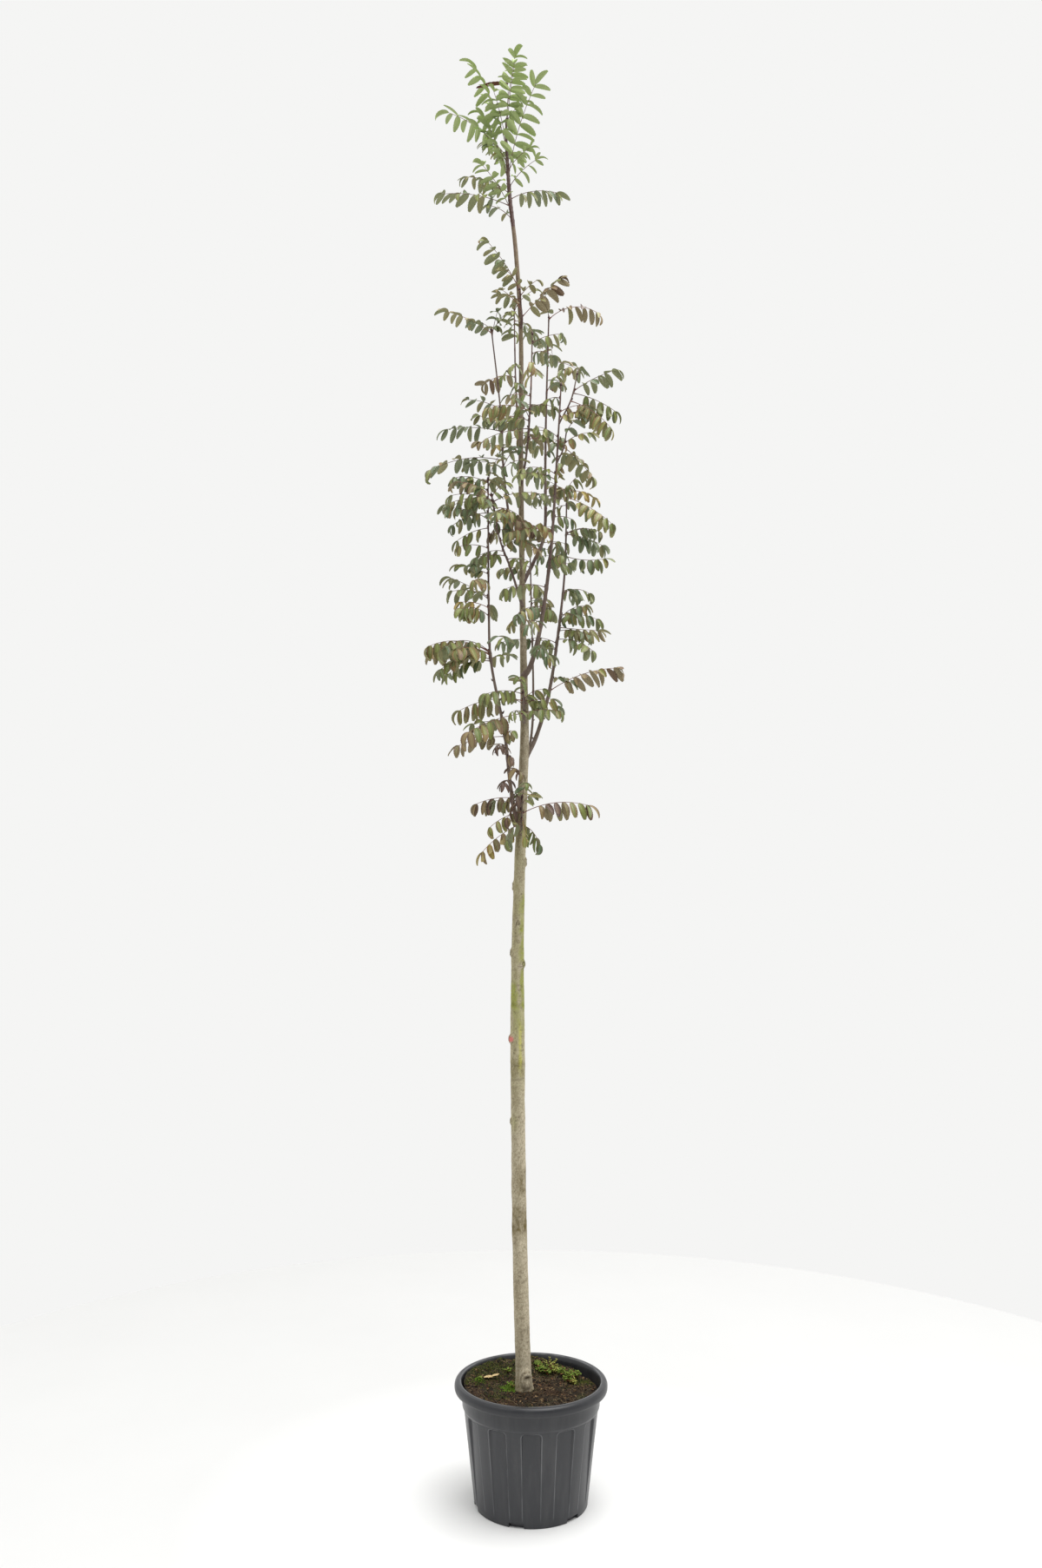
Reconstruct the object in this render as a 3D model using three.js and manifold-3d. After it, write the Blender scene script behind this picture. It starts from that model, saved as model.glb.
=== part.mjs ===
// A young rowan standard in its nursery pot: a clear trunk, steep shoots round it, and a leafy crown.
// Units are millimetres, +Z is up, and the origin is the middle of the pot's flat underside.
// +X is to the right and -Y is the front.
import * as THREE from 'three';
import { mergeVertices } from 'three/addons/utils/BufferGeometryUtils.js';
import Module from 'manifold-3d';

const wasm = await Module();
wasm.setup();

// ---------------------------------------------------------------- driving dimensions

const GAP = 0.3; // clearance between solids that meet

const POT = {
  height: 335, baseRadius: 162, wall: 4.4, lowerWall: 10, floor: 6,
  shoulder: [193.5, 260], collar: [197.5, 263], collarTop: [200, 304], // [radius, height]
  lipFoot: [220, 307], lipEdge: [221, 316], lipTop: [206, 333], mouthRadius: 201,
  panels: 12, panelTop: 256, panelBottom: 22, panelAngle: 16, panelHeadDepth: 6.5, panelFootDepth: 1,
  notches: 6, notchHeight: 12, notchAngle: 15, notchDepth: 9,
};
const SOIL = { level: 305, swell: 14, rings: 4, sectors: 24, flatRadius: 62, clear: 1 };
const FOOT = { flare: 5, fade: 26 }; // how far the trunk spreads where it enters the soil
const COLLAR = { swell: 0.45, fade: 22 }; // the swollen root of each bough
const CLEAR = 5; // leaves keep this far from limbs that are not their own

// The trunk: [x, y, z, radius], from under its foot to the tip of the leader.
const TRUNK = [
  [-20, 0, 280, 22.5], [-34, 0, 813, 21.5], [-39, -6, 1467, 19.5], [-31, -8, 1855, 16.2],
  [-18, 0, 2199, 13.6], [-21, 6, 2443, 10.5], [-26, 6, 2771, 8.4], [-29, 0, 3104, 7.5],
  [-29, -6, 3481, 6.9], [-45, -8, 3757, 6.8], [-65, -4, 3950, 6], [-76, 4, 4147, 4.2], [-75, 3, 4212, 3],
];
const CROWN_SPLIT = 3840; // above this height the leader is the stem of the top mass

// Healed pruning cuts: [height, bearing, width, length along the trunk].
const KNOBS = [
  [338, 300, 30, 44], [1062, 184, 15, 20], [1300, 186, 22, 30], [1520, 5, 20, 26], [1553, 190, 18, 24],
  [1640, 268, 16, 20], [1750, 182, 18, 24], [1823, 352, 20, 26],
];

// Bearings are in degrees: 0 is right, 90 back, 180 left, 270 front.
// path: the shoot's bends, starting inside the trunk. split: the height where bough turns to mass;
// a spur with no bough has split 0. The top mass has the leader for its stem.
// thick: radius at the root and at the tip.
// reach: leaves that stand out of the crown, [height, bearing, length, rise at root, rise at tip].
// fill: how many more leaves the rule deals out. size: their length. rise: theirs at root and tip.
const SHOOTS = [
  { name: 'top', fill: 4, size: 270, rise: [62, 18], hang: 22, seed: 11,
    reach: [[4200, 300, 244, 85, 60], [4110, 182, 345, 79, 58], [4062, 165, 335, 63, 12],
      [4008, 322, 345, 82, 50], [3955, 165, 205, 50, 0], [3935, 15, 205, 40, -15],
      [3912, 193, 262, 20, -20], [3866, 205, 118, 45, -25]] },
  { name: 'spur_high', path: [[-31, -6, 3500], [-26, -26, 3524], [-33, -30, 3620]], split: 0,
    thick: [4, 2], fill: 1, size: 190, rise: [40, -10], hang: 30, seed: 12,
    reach: [[3530, 0, 205, 50, 43], [3614, 202, 215, 65, 35]] },
  { name: 'upper_right', path: [[-21, 8, 2691], [12, 35, 2763], [46, 60, 2866], [49, 85, 3079],
    [52, 98, 3258], [62, 110, 3598]], split: 2900,
    thick: [6.2, 2.2], fill: 4, size: 225, rise: [38, -28], hang: 45, seed: 13,
    reach: [[3592, 348, 215, 45, -60], [3442, 31, 150, 25, -30]] },
  { name: 'upper_left', path: [[-28, 6, 2806], [-61, 40, 2885], [-84, 62, 3065], [-92, 74, 3248],
    [-124, 84, 3543]], split: 2960,
    thick: [4.6, 2], fill: 2, size: 215, rise: [36, -25], hang: 45, seed: 14,
    reach: [[3532, 168, 212, 42, 15], [3276, 201, 145, 20, -15], [3198, 180, 215, 15, -15],
      [3142, 211, 115, 15, -20], [3100, 180, 280, 15, -40]] },
  { name: 'upper_front', path: [[-27, -6, 2998], [-10, -50, 3093], [1, -95, 3245], [6, -120, 3428]],
    split: 3110, thick: [3.8, 1.9], fill: 3, size: 215, rise: [34, -30], hang: 50, seed: 15,
    reach: [[3401, 329, 130, 20, -25]] },
  { name: 'upper_back', path: [[-29, 4, 2997], [-34, 62, 3131], [-46, 112, 3384], [-51, 135, 3640]],
    split: 3140, thick: [4.2, 2], fill: 5, size: 230, rise: [36, -28], hang: 45, seed: 16, reach: [] },
  { name: 'mid_right', path: [[-21, -2, 2390], [4, -30, 2428], [35, -60, 2557], [64, -80, 2786],
    [82, -95, 3067], [94, -100, 3274]], split: 2690,
    thick: [8, 2.2], fill: 3, size: 215, rise: [32, -34], hang: 55, seed: 17,
    reach: [[2704, 20, 100, 40, -10]],
    twigs: [
      { height: 3154, bearing: 345, length: 162, rise: 62, thick: [2.6, 1.8],
        reach: [[3252, 350, 170, 35, 8], [3246, 12, 178, -5, -40], [3222, 336, 205, -25, -60]] },
      { height: 3030, bearing: 352, length: 105, rise: 66, thick: [2.4, 1.8],
        reach: [[3092, 326, 120, 30, -25], [3080, 32, 165, -20, -60]] }] },
  { name: 'low_right', path: [[-15, 2, 2140], [19, 25, 2211], [57, 45, 2344], [83, 62, 2504],
    [109, 78, 2737], [118, 90, 3018]], split: 2325,
    thick: [7.2, 2], fill: 2, size: 215, rise: [30, -36], hang: 62, seed: 18,
    reach: [[3012, 25, 130, 10, -30], [2989, 339, 224, -25, -50], [2865, 28, 172, 5, -25],
      [2793, 330, 175, -25, 8], [2668, 38, 150, 40, -35], [2586, 329, 130, 50, -30],
      [2560, 27, 180, 0, 6], [2521, 334, 165, 0, -55], [2353, 352, 262, 35, -5]] },
  { name: 'low_left', path: [[-30, -8, 1880], [-60, -30, 2050], [-78, -50, 2208], [-118, -66, 2417],
    [-126, -75, 2586], [-129, -80, 2985]], split: 2405,
    thick: [6.6, 2], fill: 2, size: 210, rise: [28, -36], hang: 62, seed: 19,
    reach: [[2974, 208, 145, 20, -35], [2860, 207, 165, 25, -20], [2833, 149, 150, 5, -35],
      [2613, 158, 185, 40, 20], [2586, 213, 125, 20, -25], [2449, 206, 245, 30, -40]] },
  { name: 'mid_left', path: [[-24, 0, 2610], [-60, -50, 2714], [-94, -95, 2798], [-117, -125, 2920]],
    split: 2722, thick: [4.2, 1.9], fill: 3, size: 205, rise: [28, -36], hang: 58, seed: 20,
    reach: [[2749, 211, 135, 0, -30]] },
  { name: 'low_back', path: [[-20, 2, 2090], [4, 60, 2222], [10, 105, 2372], [5, 140, 2620], [0, 160, 2875]],
    split: 2480, thick: [4.6, 2], fill: 5, size: 225, rise: [28, -36], hang: 60, seed: 21, reach: [] },
  { name: 'spur_mid', path: [[-19, 2, 2236], [-19, -24, 2262], [-22, -32, 2335]], split: 0,
    thick: [4, 2], fill: 1, size: 185, rise: [22, -40], hang: 66, seed: 22,
    reach: [[2310, 165, 250, 15, -35], [2272, 196, 255, -10, -35], [2274, 330, 150, 10, -20]] },
  { name: 'spur_low', path: [[-27, -6, 1895], [-27, -36, 1922], [-25, -44, 2015]], split: 0,
    thick: [4, 2], fill: 0, size: 170, rise: [10, -60], hang: 72, seed: 23,
    reach: [[1966, 358, 245, 30, -25], [2008, 158, 190, 15, -30], [1972, 205, 150, -10, -50],
      [1936, 165, 205, -20, -55], [1950, 275, 150, 0, -80], [1945, 240, 140, -10, -80]] },
];

const LEAF = {
  stalkSteps: 3, stalkRadius: 2.3, stalkTip: 1.5, // the three-sided stalk of a compound leaf
  firstPair: 0.34, lastPair: 0.86, // where along the stalk the pairs of leaflets stand
  longPairs: 3, shortPairs: 2, longFrom: 240, // pairs of leaflets on a long and on a short leaf
  base: 38, perLength: 0.15, // leaflet length = base + perLength * leaf length
  endShare: 0.9, // how much of the end leaflet counts in the leaf's length
  width: 0.46, widest: 0.45, thick: 2, // a leaflet's width and widest place by its length, and thickness
  splay: 58, // angle between a leaflet and the stalk
};
const FILL_TURN = 137.5; // degrees from one leaf to the next round a shoot
const DODGES = [0, 20, -20, 40, -40, 60, -60]; // turns a leaf tries so as to pass a limb

// ---------------------------------------------------------------- small helpers

const V = (x, y, z) => new THREE.Vector3(x, y, z);
const rad = THREE.MathUtils.degToRad;
const mix = THREE.MathUtils.lerp;

/** Seeded draws between 0 and 1. */
function drawsFrom(seed) {
  let state = seed >>> 0;
  return () => {
    state = (state + 0x6d2b79f5) >>> 0;
    let t = Math.imul(state ^ (state >>> 15), state | 1);
    t = (t + Math.imul(t ^ (t >>> 7), t | 61)) ^ t;
    return ((t ^ (t >>> 14)) >>> 0) / 4294967296;
  };
}

/** Unit vector at a bearing and a rise above the horizontal, both in degrees. */
function heading(bearing, rise) {
  const b = rad(bearing);
  const r = rad(rise);
  return V(Math.cos(b) * Math.cos(r), Math.sin(b) * Math.cos(r), Math.sin(r));
}

function toSolid(geometry) {
  const bare = geometry.clone();
  bare.deleteAttribute('normal');
  bare.deleteAttribute('uv');
  const merged = mergeVertices(bare, 1e-4);
  return new wasm.Manifold(new wasm.Mesh({
    numProp: 3,
    vertProperties: new Float32Array(merged.attributes.position.array),
    triVerts: new Uint32Array(merged.index.array),
  }));
}

/** The largest piece of a solid, with sealed hollows and loose scraps left out. */
function soundPiece(solid) {
  const pieces = solid.decompose();
  return pieces.reduce((best, piece) => (piece.volume() > best.volume() ? piece : best));
}

function toGeometry(solid) {
  const mesh = soundPiece(solid).simplify(0.1).getMesh();
  const positions = new Float32Array(mesh.numVert * 3);
  for (let i = 0; i < mesh.numVert; i += 1) {
    for (let k = 0; k < 3; k += 1) positions[i * 3 + k] = mesh.vertProperties[i * mesh.numProp + k];
  }
  const geometry = new THREE.BufferGeometry();
  geometry.setAttribute('position', new THREE.BufferAttribute(positions, 3));
  geometry.setIndex(new THREE.BufferAttribute(new Uint32Array(mesh.triVerts), 1));
  geometry.computeVertexNormals();
  return geometry;
}

/** A closed tube of flat facets through centres, one radius each. */
function tube(centres, radii, sides) {
  const positions = [];
  const index = [];
  let side = V(1, 0.13, 0.07).normalize();
  centres.forEach((centre, i) => {
    const before = centres[Math.max(i - 1, 0)];
    const after = centres[Math.min(i + 1, centres.length - 1)];
    const along = after.clone().sub(before).normalize();
    side = side.addScaledVector(along, -side.dot(along)).normalize();
    const across = along.clone().cross(side);
    for (let s = 0; s < sides; s += 1) {
      const a = (2 * Math.PI * s) / sides;
      const p = centre.clone()
        .addScaledVector(side, radii[i] * Math.cos(a))
        .addScaledVector(across, radii[i] * Math.sin(a));
      positions.push(p.x, p.y, p.z);
    }
  });
  for (let i = 0; i + 1 < centres.length; i += 1) {
    for (let s = 0; s < sides; s += 1) {
      const a = i * sides + s;
      const b = i * sides + ((s + 1) % sides);
      index.push(a, b, b + sides, a, b + sides, a + sides);
    }
  }
  const last = (centres.length - 1) * sides;
  for (let s = 1; s + 1 < sides; s += 1) {
    index.push(0, s + 1, s, last, last + s, last + s + 1);
  }
  const geometry = new THREE.BufferGeometry();
  geometry.setAttribute('position', new THREE.BufferAttribute(new Float32Array(positions), 3));
  geometry.setIndex(index);
  return toSolid(geometry);
}

// ---------------------------------------------------------------- limbs as centre lines

/** Centre line of a limb: evenly spaced stations with their radii. */
function limbLine(path, radiusAt, step) {
  const curve = new THREE.CatmullRomCurve3(path.map((p) => V(p[0], p[1], p[2])), false, 'catmullrom');
  const count = Math.ceil(curve.getLength() / step);
  const stations = [];
  for (let i = 0; i <= count; i += 1) {
    const at = i / count;
    stations.push({ point: curve.getPointAt(at), radius: radiusAt(at, curve) });
  }
  return stations;
}

function trunkRadius(z) {
  const above = TRUNK.findIndex((p) => p[2] > z);
  const next = above < 0 ? TRUNK.length - 1 : Math.max(above, 1);
  const [low, high] = [TRUNK[next - 1], TRUNK[next]];
  const part = THREE.MathUtils.clamp((z - low[2]) / (high[2] - low[2]), 0, 1);
  return mix(low[3], high[3], part) + FOOT.flare * Math.exp(-Math.max(z - SOIL.level, 0) / FOOT.fade);
}

const leaderLine = limbLine(TRUNK, (at, curve) => trunkRadius(curve.getPointAt(at).z), 130);

function shootLine(shoot) {
  const [root, tip] = shoot.thick;
  return limbLine(shoot.path, (at, curve) => {
    const out = at * curve.getLength();
    return mix(root, tip, at ** 0.75) + root * COLLAR.swell * Math.exp(-out / COLLAR.fade);
  }, 55);
}

/** The part of a line above a height, cut square across the limb. */
function lineAbove(line, z) {
  const i = line.findIndex((s) => s.point.z > z);
  const [low, high] = [line[i - 1], line[i]];
  const part = (z - low.point.z) / (high.point.z - low.point.z);
  return [{ point: low.point.clone().lerp(high.point, part), radius: mix(low.radius, high.radius, part) },
    ...line.slice(i)];
}

function lineBelow(line, z) {
  const [cut] = lineAbove(line, z);
  return [...line.filter((s) => s.point.z < z - 2), cut];
}

const trunkLine = lineBelow(leaderLine, CROWN_SPLIT);

const limbSolid = (line, sides, grow = 0) => (
  tube(line.map((s) => s.point), line.map((s) => s.radius + grow), sides)
);

for (const shoot of SHOOTS) {
  shoot.line = shoot.path ? shootLine(shoot) : lineAbove(leaderLine, CROWN_SPLIT + GAP);
  shoot.bough = shoot.split ? [lineBelow(shoot.line, shoot.split)] : [];
  shoot.stem = shoot.split ? lineAbove(shoot.line, shoot.split + GAP) : shoot.line;
}

/** True where a point is too near a centre line. */
function near(point, line, margin) {
  const segment = new THREE.Line3();
  const nearest = V(0, 0, 0);
  for (let i = 0; i + 1 < line.length; i += 1) {
    segment.set(line[i].point, line[i + 1].point).closestPointToPoint(point, true, nearest);
    if (nearest.distanceTo(point) < line[i].radius + margin) return true;
  }
  return false;
}

// ---------------------------------------------------------------- leaves by rule

/** Length of a leaf's larger leaflets. */
const leafletLength = (leaf) => LEAF.base + LEAF.perLength * leaf.length;

/** Points along the stalk of a leaf, which arches from one rise towards another. */
function stalkPoints(root, leaf, steps) {
  const points = [root.clone()];
  const stride = (leaf.length - LEAF.endShare * leafletLength(leaf)) / steps;
  for (let i = 0; i < steps; i += 1) {
    const rise = mix(leaf.rise, leaf.tipRise, ((i + 0.5) * stride) / leaf.length);
    points.push(points.at(-1).clone().addScaledVector(heading(leaf.bearing, rise), stride));
  }
  return points;
}

/** The leaflets of a compound leaf: pairs along the stalk and one at its tip. */
function leafletsOf(points, leaf, pairs) {
  const curve = new THREE.CatmullRomCurve3(points, false, 'catmullrom');
  const size = leafletLength(leaf);
  const leaflets = [];
  for (let k = 0; k < pairs; k += 1) {
    const t = mix(LEAF.firstPair, LEAF.lastPair, k / (pairs - 1));
    const along = curve.getTangent(t);
    const level = V(-Math.sin(rad(leaf.bearing)), Math.cos(rad(leaf.bearing)), 0);
    const up = along.clone().cross(level).normalize();
    const bulge = 0.8 + 0.3 * Math.sin(Math.PI * (0.2 + (0.65 * k) / (pairs - 1)));
    for (const hand of [1, -1]) {
      const out = level.clone().multiplyScalar(hand * Math.cos(rad(leaf.hang)))
        .addScaledVector(up, -Math.sin(rad(leaf.hang)));
      const dir = along.clone().multiplyScalar(Math.cos(rad(LEAF.splay)))
        .addScaledVector(out, Math.sin(rad(LEAF.splay))).normalize();
      leaflets.push({ root: curve.getPoint(t), dir, along, length: size * bulge });
    }
  }
  const tip = points.at(-1);
  const last = heading(leaf.bearing, mix(leaf.rise, leaf.tipRise, 0.88));
  const level = V(-Math.sin(rad(leaf.bearing)), Math.cos(rad(leaf.bearing)), 0);
  leaflets.push({ root: tip.clone().addScaledVector(last, -3), dir: last, along: level, length: size });
  return leaflets;
}

/** One leaflet: a thin blade of eight faces whose root lies inside the stalk. */
function leafletSolid({ root, dir, along, length }) {
  const wide = along.clone().addScaledVector(dir, -along.dot(dir)).normalize();
  const thin = dir.clone().cross(wide);
  const middle = root.clone().addScaledVector(dir, length * LEAF.widest);
  const end = root.clone().addScaledVector(dir, length);
  const half = (length * LEAF.width) / 2;
  const corners = [
    root, end,
    middle.clone().addScaledVector(wide, half), middle.clone().addScaledVector(thin, LEAF.thick / 2),
    middle.clone().addScaledVector(wide, -half), middle.clone().addScaledVector(thin, -LEAF.thick / 2),
  ];
  const index = [];
  for (let i = 0; i < 4; i += 1) {
    const a = 2 + i;
    const b = 2 + ((i + 1) % 4);
    index.push(0, b, a, 1, a, b);
  }
  const geometry = new THREE.BufferGeometry();
  geometry.setAttribute('position', new THREE.BufferAttribute(
    new Float32Array(corners.flatMap((c) => [c.x, c.y, c.z])), 3));
  geometry.setIndex(index);
  return toSolid(geometry);
}

/** Every leaf of a stem: those that reach out and those that the seeded rule deals out. */
function leavesOf(stem, plan, draw) {
  const [bottom, top] = [stem[0].point.z, stem.at(-1).point.z];
  const leaves = plan.reach.map(([height, bearing, length, rise, tipRise]) => (
    { height, bearing, length, rise, tipRise, hang: plan.hang + 24 * (draw() - 0.5) }));
  const first = 360 * draw();
  for (let i = 0; i < (plan.fill || 0); i += 1) {
    const bearing = first + i * FILL_TURN + 30 * (draw() - 0.5);
    const sideways = Math.abs(Math.cos(rad(bearing)));
    leaves.push({
      height: mix(bottom + 12, top - 3, (i + 0.35 + 0.3 * draw()) / plan.fill),
      bearing,
      length: plan.size * (1 - 0.38 * sideways) * (0.86 + 0.24 * draw()),
      rise: plan.rise[0] + 20 * (draw() - 0.5),
      tipRise: plan.rise[1] + 24 * (draw() - 0.5),
      hang: plan.hang + 30 * (draw() - 0.5),
    });
  }
  return leaves;
}

/** A leaf's stalk and leaflets, turned to pass the limbs in its way; null where it can't. */
function placeLeaf(stem, leaf, limbs) {
  const [low, high] = [stem[0].point.z + 8, stem.at(-1).point.z - 1];
  const [at] = lineAbove(stem, THREE.MathUtils.clamp(leaf.height, low, high));
  for (const dodge of DODGES) {
    const turned = { ...leaf, bearing: leaf.bearing + dodge };
    const points = stalkPoints(at.point, turned, LEAF.stalkSteps);
    const margin = CLEAR + LEAF.stalkRadius;
    const blocked = points.slice(1).some((p) => limbs.some((limb) => near(p, limb, margin)));
    if (!blocked) {
      const pairs = leaf.length < LEAF.longFrom ? LEAF.shortPairs : LEAF.longPairs;
      const leaflets = leafletsOf(points, turned, pairs).filter(({ root, dir, length }) => (
        [0.35, 0.7, 1].every((t) => {
          const p = root.clone().addScaledVector(dir, length * t);
          return !limbs.some((limb) => near(p, limb, CLEAR + (t < 1 ? 7 : 0)));
        })));
      return { points, leaflets };
    }
  }
  return null;
}

/** The short side twigs of a shoot, as stems of their own. */
function twigStem(stem, twig) {
  const [at] = lineAbove(stem, twig.height);
  const out = heading(twig.bearing, twig.rise);
  const up = heading(twig.bearing, twig.rise + 14);
  const middle = at.point.clone().addScaledVector(out, twig.length / 2);
  const end = middle.clone().addScaledVector(up, twig.length / 2);
  const [root, tip] = twig.thick;
  return [at.point, middle, end].map((point, i) => ({ point, radius: mix(root, tip, i / 2) }));
}

/** One mass: a stem, its side twigs and their leaves, fused, clear of everything already there. */
function massSolid(shoot, limbs, others) {
  const draw = drawsFrom(shoot.seed);
  const twigs = (shoot.twigs || []).map((twig) => (
    { line: twigStem(shoot.stem, twig), plan: { ...shoot, fill: 0, ...twig } }));
  let solid = limbSolid(shoot.stem, 5);
  if (shoot.path && !shoot.split) solid = solid.subtract(grownTrunk);
  for (const { line } of twigs) solid = solid.add(limbSolid(line, 3));
  const free = (piece) => others.every((other) => other.intersect(piece).isEmpty());
  for (const { line, plan } of [{ line: shoot.stem, plan: shoot }, ...twigs]) {
    for (const leaf of leavesOf(line, plan, draw)) {
      const placed = placeLeaf(line, leaf, limbs);
      if (!placed) continue;
      const radii = placed.points.map((_, i) => mix(LEAF.stalkRadius, LEAF.stalkTip, i / LEAF.stalkSteps));
      const stalk = tube(placed.points, radii, 3);
      if (!free(stalk)) continue;
      solid = solid.add(stalk);
      for (const leaflet of placed.leaflets) {
        const blade = leafletSolid(leaflet);
        if (free(blade)) solid = solid.add(blade);
      }
    }
  }
  return solid;
}

// ---------------------------------------------------------------- pot and soil

/** Outer radius of the pot's wall at a height. */
const wallRadius = (z) => mix(POT.baseRadius, POT.shoulder[0], z / POT.shoulder[1]);

/** Where the inside of the wall passes its shoulder and its collar, as [radius, height]. */
const innerWall = () => [
  [POT.shoulder[0] - POT.lowerWall, POT.shoulder[1]], [POT.collar[0] - POT.wall, POT.collar[1] + 8],
];

function latheSolid(profile, sides) {
  const lathe = new THREE.LatheGeometry(profile.map(([r, z]) => new THREE.Vector2(r, z)), sides);
  return toSolid(lathe.rotateX(Math.PI / 2));
}

/** A curved block round part of the wall, from [radius, height] at its foot to its head, to cut with. */
function wallCutter(bearing, angle, foot, head) {
  const outline = new THREE.Shape();
  const half = rad(angle / 2);
  outline.absarc(0, 0, 1, -half, half, false);
  outline.absarc(0, 0, 2, half, -half, true);
  const block = new THREE.ExtrudeGeometry(outline, { depth: 1, bevelEnabled: false, curveSegments: 2 });
  const place = block.attributes.position;
  for (let i = 0; i < place.count; i += 1) {
    const [x, y] = [place.getX(i), place.getY(i)];
    const [radius, z] = place.getZ(i) > 0.5 ? head : foot;
    const reach = Math.hypot(x, y) > 1.5 ? radius + 40 : radius;
    const a = Math.atan2(y, x) + rad(bearing);
    place.setXYZ(i, reach * Math.cos(a), reach * Math.sin(a), z);
  }
  return toSolid(block);
}

function potSolid() {
  const [shoulder, collar] = innerWall();
  let pot = latheSolid([
    [0, 0], [POT.baseRadius, 0], POT.shoulder, POT.collar, POT.collarTop, POT.lipFoot, POT.lipEdge,
    POT.lipTop, [POT.mouthRadius + 1, POT.height], [POT.collarTop[0] - POT.wall, POT.collarTop[1] + 6],
    collar, shoulder, [POT.baseRadius - POT.lowerWall, POT.floor], [0, POT.floor],
  ], 36);
  for (let i = 0; i < POT.panels; i += 1) {
    const bearing = 270 + (i * 360) / POT.panels;
    const foot = [wallRadius(POT.panelBottom) - POT.panelFootDepth, POT.panelBottom];
    const head = [wallRadius(POT.panelTop) - POT.panelHeadDepth, POT.panelTop];
    pot = pot.subtract(wallCutter(bearing, POT.panelAngle, foot, head));
  }
  for (let i = 0; i < POT.notches; i += 1) {
    const bearing = 255 + (i * 360) / POT.notches;
    const back = POT.baseRadius - POT.notchDepth;
    pot = pot.subtract(wallCutter(bearing, POT.notchAngle, [back, -1], [back, POT.notchHeight]));
  }
  return pot;
}

/** Height of the soil: level round the trunk, higher to the left and the back. */
function soilHeight(x, y) {
  const away = Math.max(Math.hypot(x - TRUNK[0][0], y) - SOIL.flatRadius, 0) / 130;
  const lean = (-x * 0.7 + y * 0.3) / POT.mouthRadius;
  const lumps = 0.35 * Math.sin(x / 23 + 1) * Math.cos(y / 31);
  return SOIL.level + SOIL.swell * Math.min(away, 1) * (lean + lumps);
}

function soilSolid() {
  const foot = POT.floor + GAP;
  const sides = [[POT.baseRadius - POT.lowerWall, foot], ...innerWall()];
  const topRadius = sides.at(-1)[0] - SOIL.clear;
  const positions = [0, 0, foot];
  const index = [];
  const ring = (radius, height) => {
    for (let s = 0; s < SOIL.sectors; s += 1) {
      const a = (2 * Math.PI * s) / SOIL.sectors;
      const [x, y] = [radius * Math.cos(a), radius * Math.sin(a)];
      positions.push(x, y, height === undefined ? soilHeight(x, y) : height);
    }
  };
  for (const [radius, height] of sides) ring(radius - SOIL.clear, height);
  for (let i = SOIL.rings; i >= 1; i -= 1) ring((topRadius * i) / SOIL.rings);
  positions.push(0, 0, soilHeight(0, 0));
  const top = positions.length / 3 - 1;
  const bands = sides.length + SOIL.rings - 1;
  const wrap = (s) => (s + 1) % SOIL.sectors;
  for (let s = 0; s < SOIL.sectors; s += 1) {
    index.push(0, 1 + wrap(s), 1 + s);
    for (let i = 0; i < bands; i += 1) {
      const a = 1 + i * SOIL.sectors;
      const b = a + SOIL.sectors;
      index.push(a + s, a + wrap(s), b + wrap(s), a + s, b + wrap(s), b + s);
    }
    const last = 1 + bands * SOIL.sectors;
    index.push(last + s, last + wrap(s), top);
  }
  const geometry = new THREE.BufferGeometry();
  geometry.setAttribute('position', new THREE.BufferAttribute(new Float32Array(positions), 3));
  geometry.setIndex(index);
  return toSolid(geometry);
}

// ---------------------------------------------------------------- trunk

function trunkSolid() {
  let trunk = limbSolid(trunkLine, 12);
  for (const [height, bearing, width, length] of KNOBS) {
    const [at] = lineAbove(trunkLine, height);
    const out = heading(bearing, 0);
    const ball = new THREE.SphereGeometry(0.5, 6, 4).rotateX(Math.PI / 2);
    ball.scale(width * 0.8, width, length);
    ball.rotateZ(rad(bearing));
    const seat = at.point.clone().addScaledVector(out, at.radius - width * 0.16);
    ball.translate(seat.x, seat.y, seat.z);
    trunk = trunk.add(toSolid(ball));
  }
  const cut = SOIL.level + GAP;
  const below = new THREE.BoxGeometry(200, 200, 100).translate(TRUNK[0][0], TRUNK[0][1], cut - 50);
  return trunk.subtract(toSolid(below));
}

const grownTrunk = limbSolid(trunkLine, 12, GAP);

// ---------------------------------------------------------------- the whole plant

const MATERIALS = {
  pot: new THREE.MeshStandardMaterial({ color: 0x3c3d40, roughness: 0.55, metalness: 0 }),
  soil: new THREE.MeshStandardMaterial({ color: 0x35281f, roughness: 1, metalness: 0 }),
  bark: new THREE.MeshStandardMaterial({ color: 0x7d7762, roughness: 0.8, metalness: 0 }),
  shoots: new THREE.MeshStandardMaterial({ color: 0x4f3b37, roughness: 0.7, metalness: 0 }),
  leaves: new THREE.MeshStandardMaterial({ color: 0x587a42, roughness: 0.6, metalness: 0 }),
};

const group = new THREE.Group();

function addNode(name, solid, material) {
  const mesh = new THREE.Mesh(toGeometry(solid), material.clone());
  mesh.name = name;
  group.add(mesh);
}

const boughs = SHOOTS.filter((shoot) => shoot.split)
  .map((shoot) => ({ shoot, solid: limbSolid(shoot.bough[0], 6).subtract(grownTrunk) }));

addNode('pot', potSolid(), MATERIALS.pot);
addNode('soil', soilSolid(), MATERIALS.soil);
const trunk = trunkSolid();
addNode('trunk', trunk, MATERIALS.bark);
for (const { shoot, solid } of boughs) addNode(`bough_${shoot.name}`, solid, MATERIALS.shoots);

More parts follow.
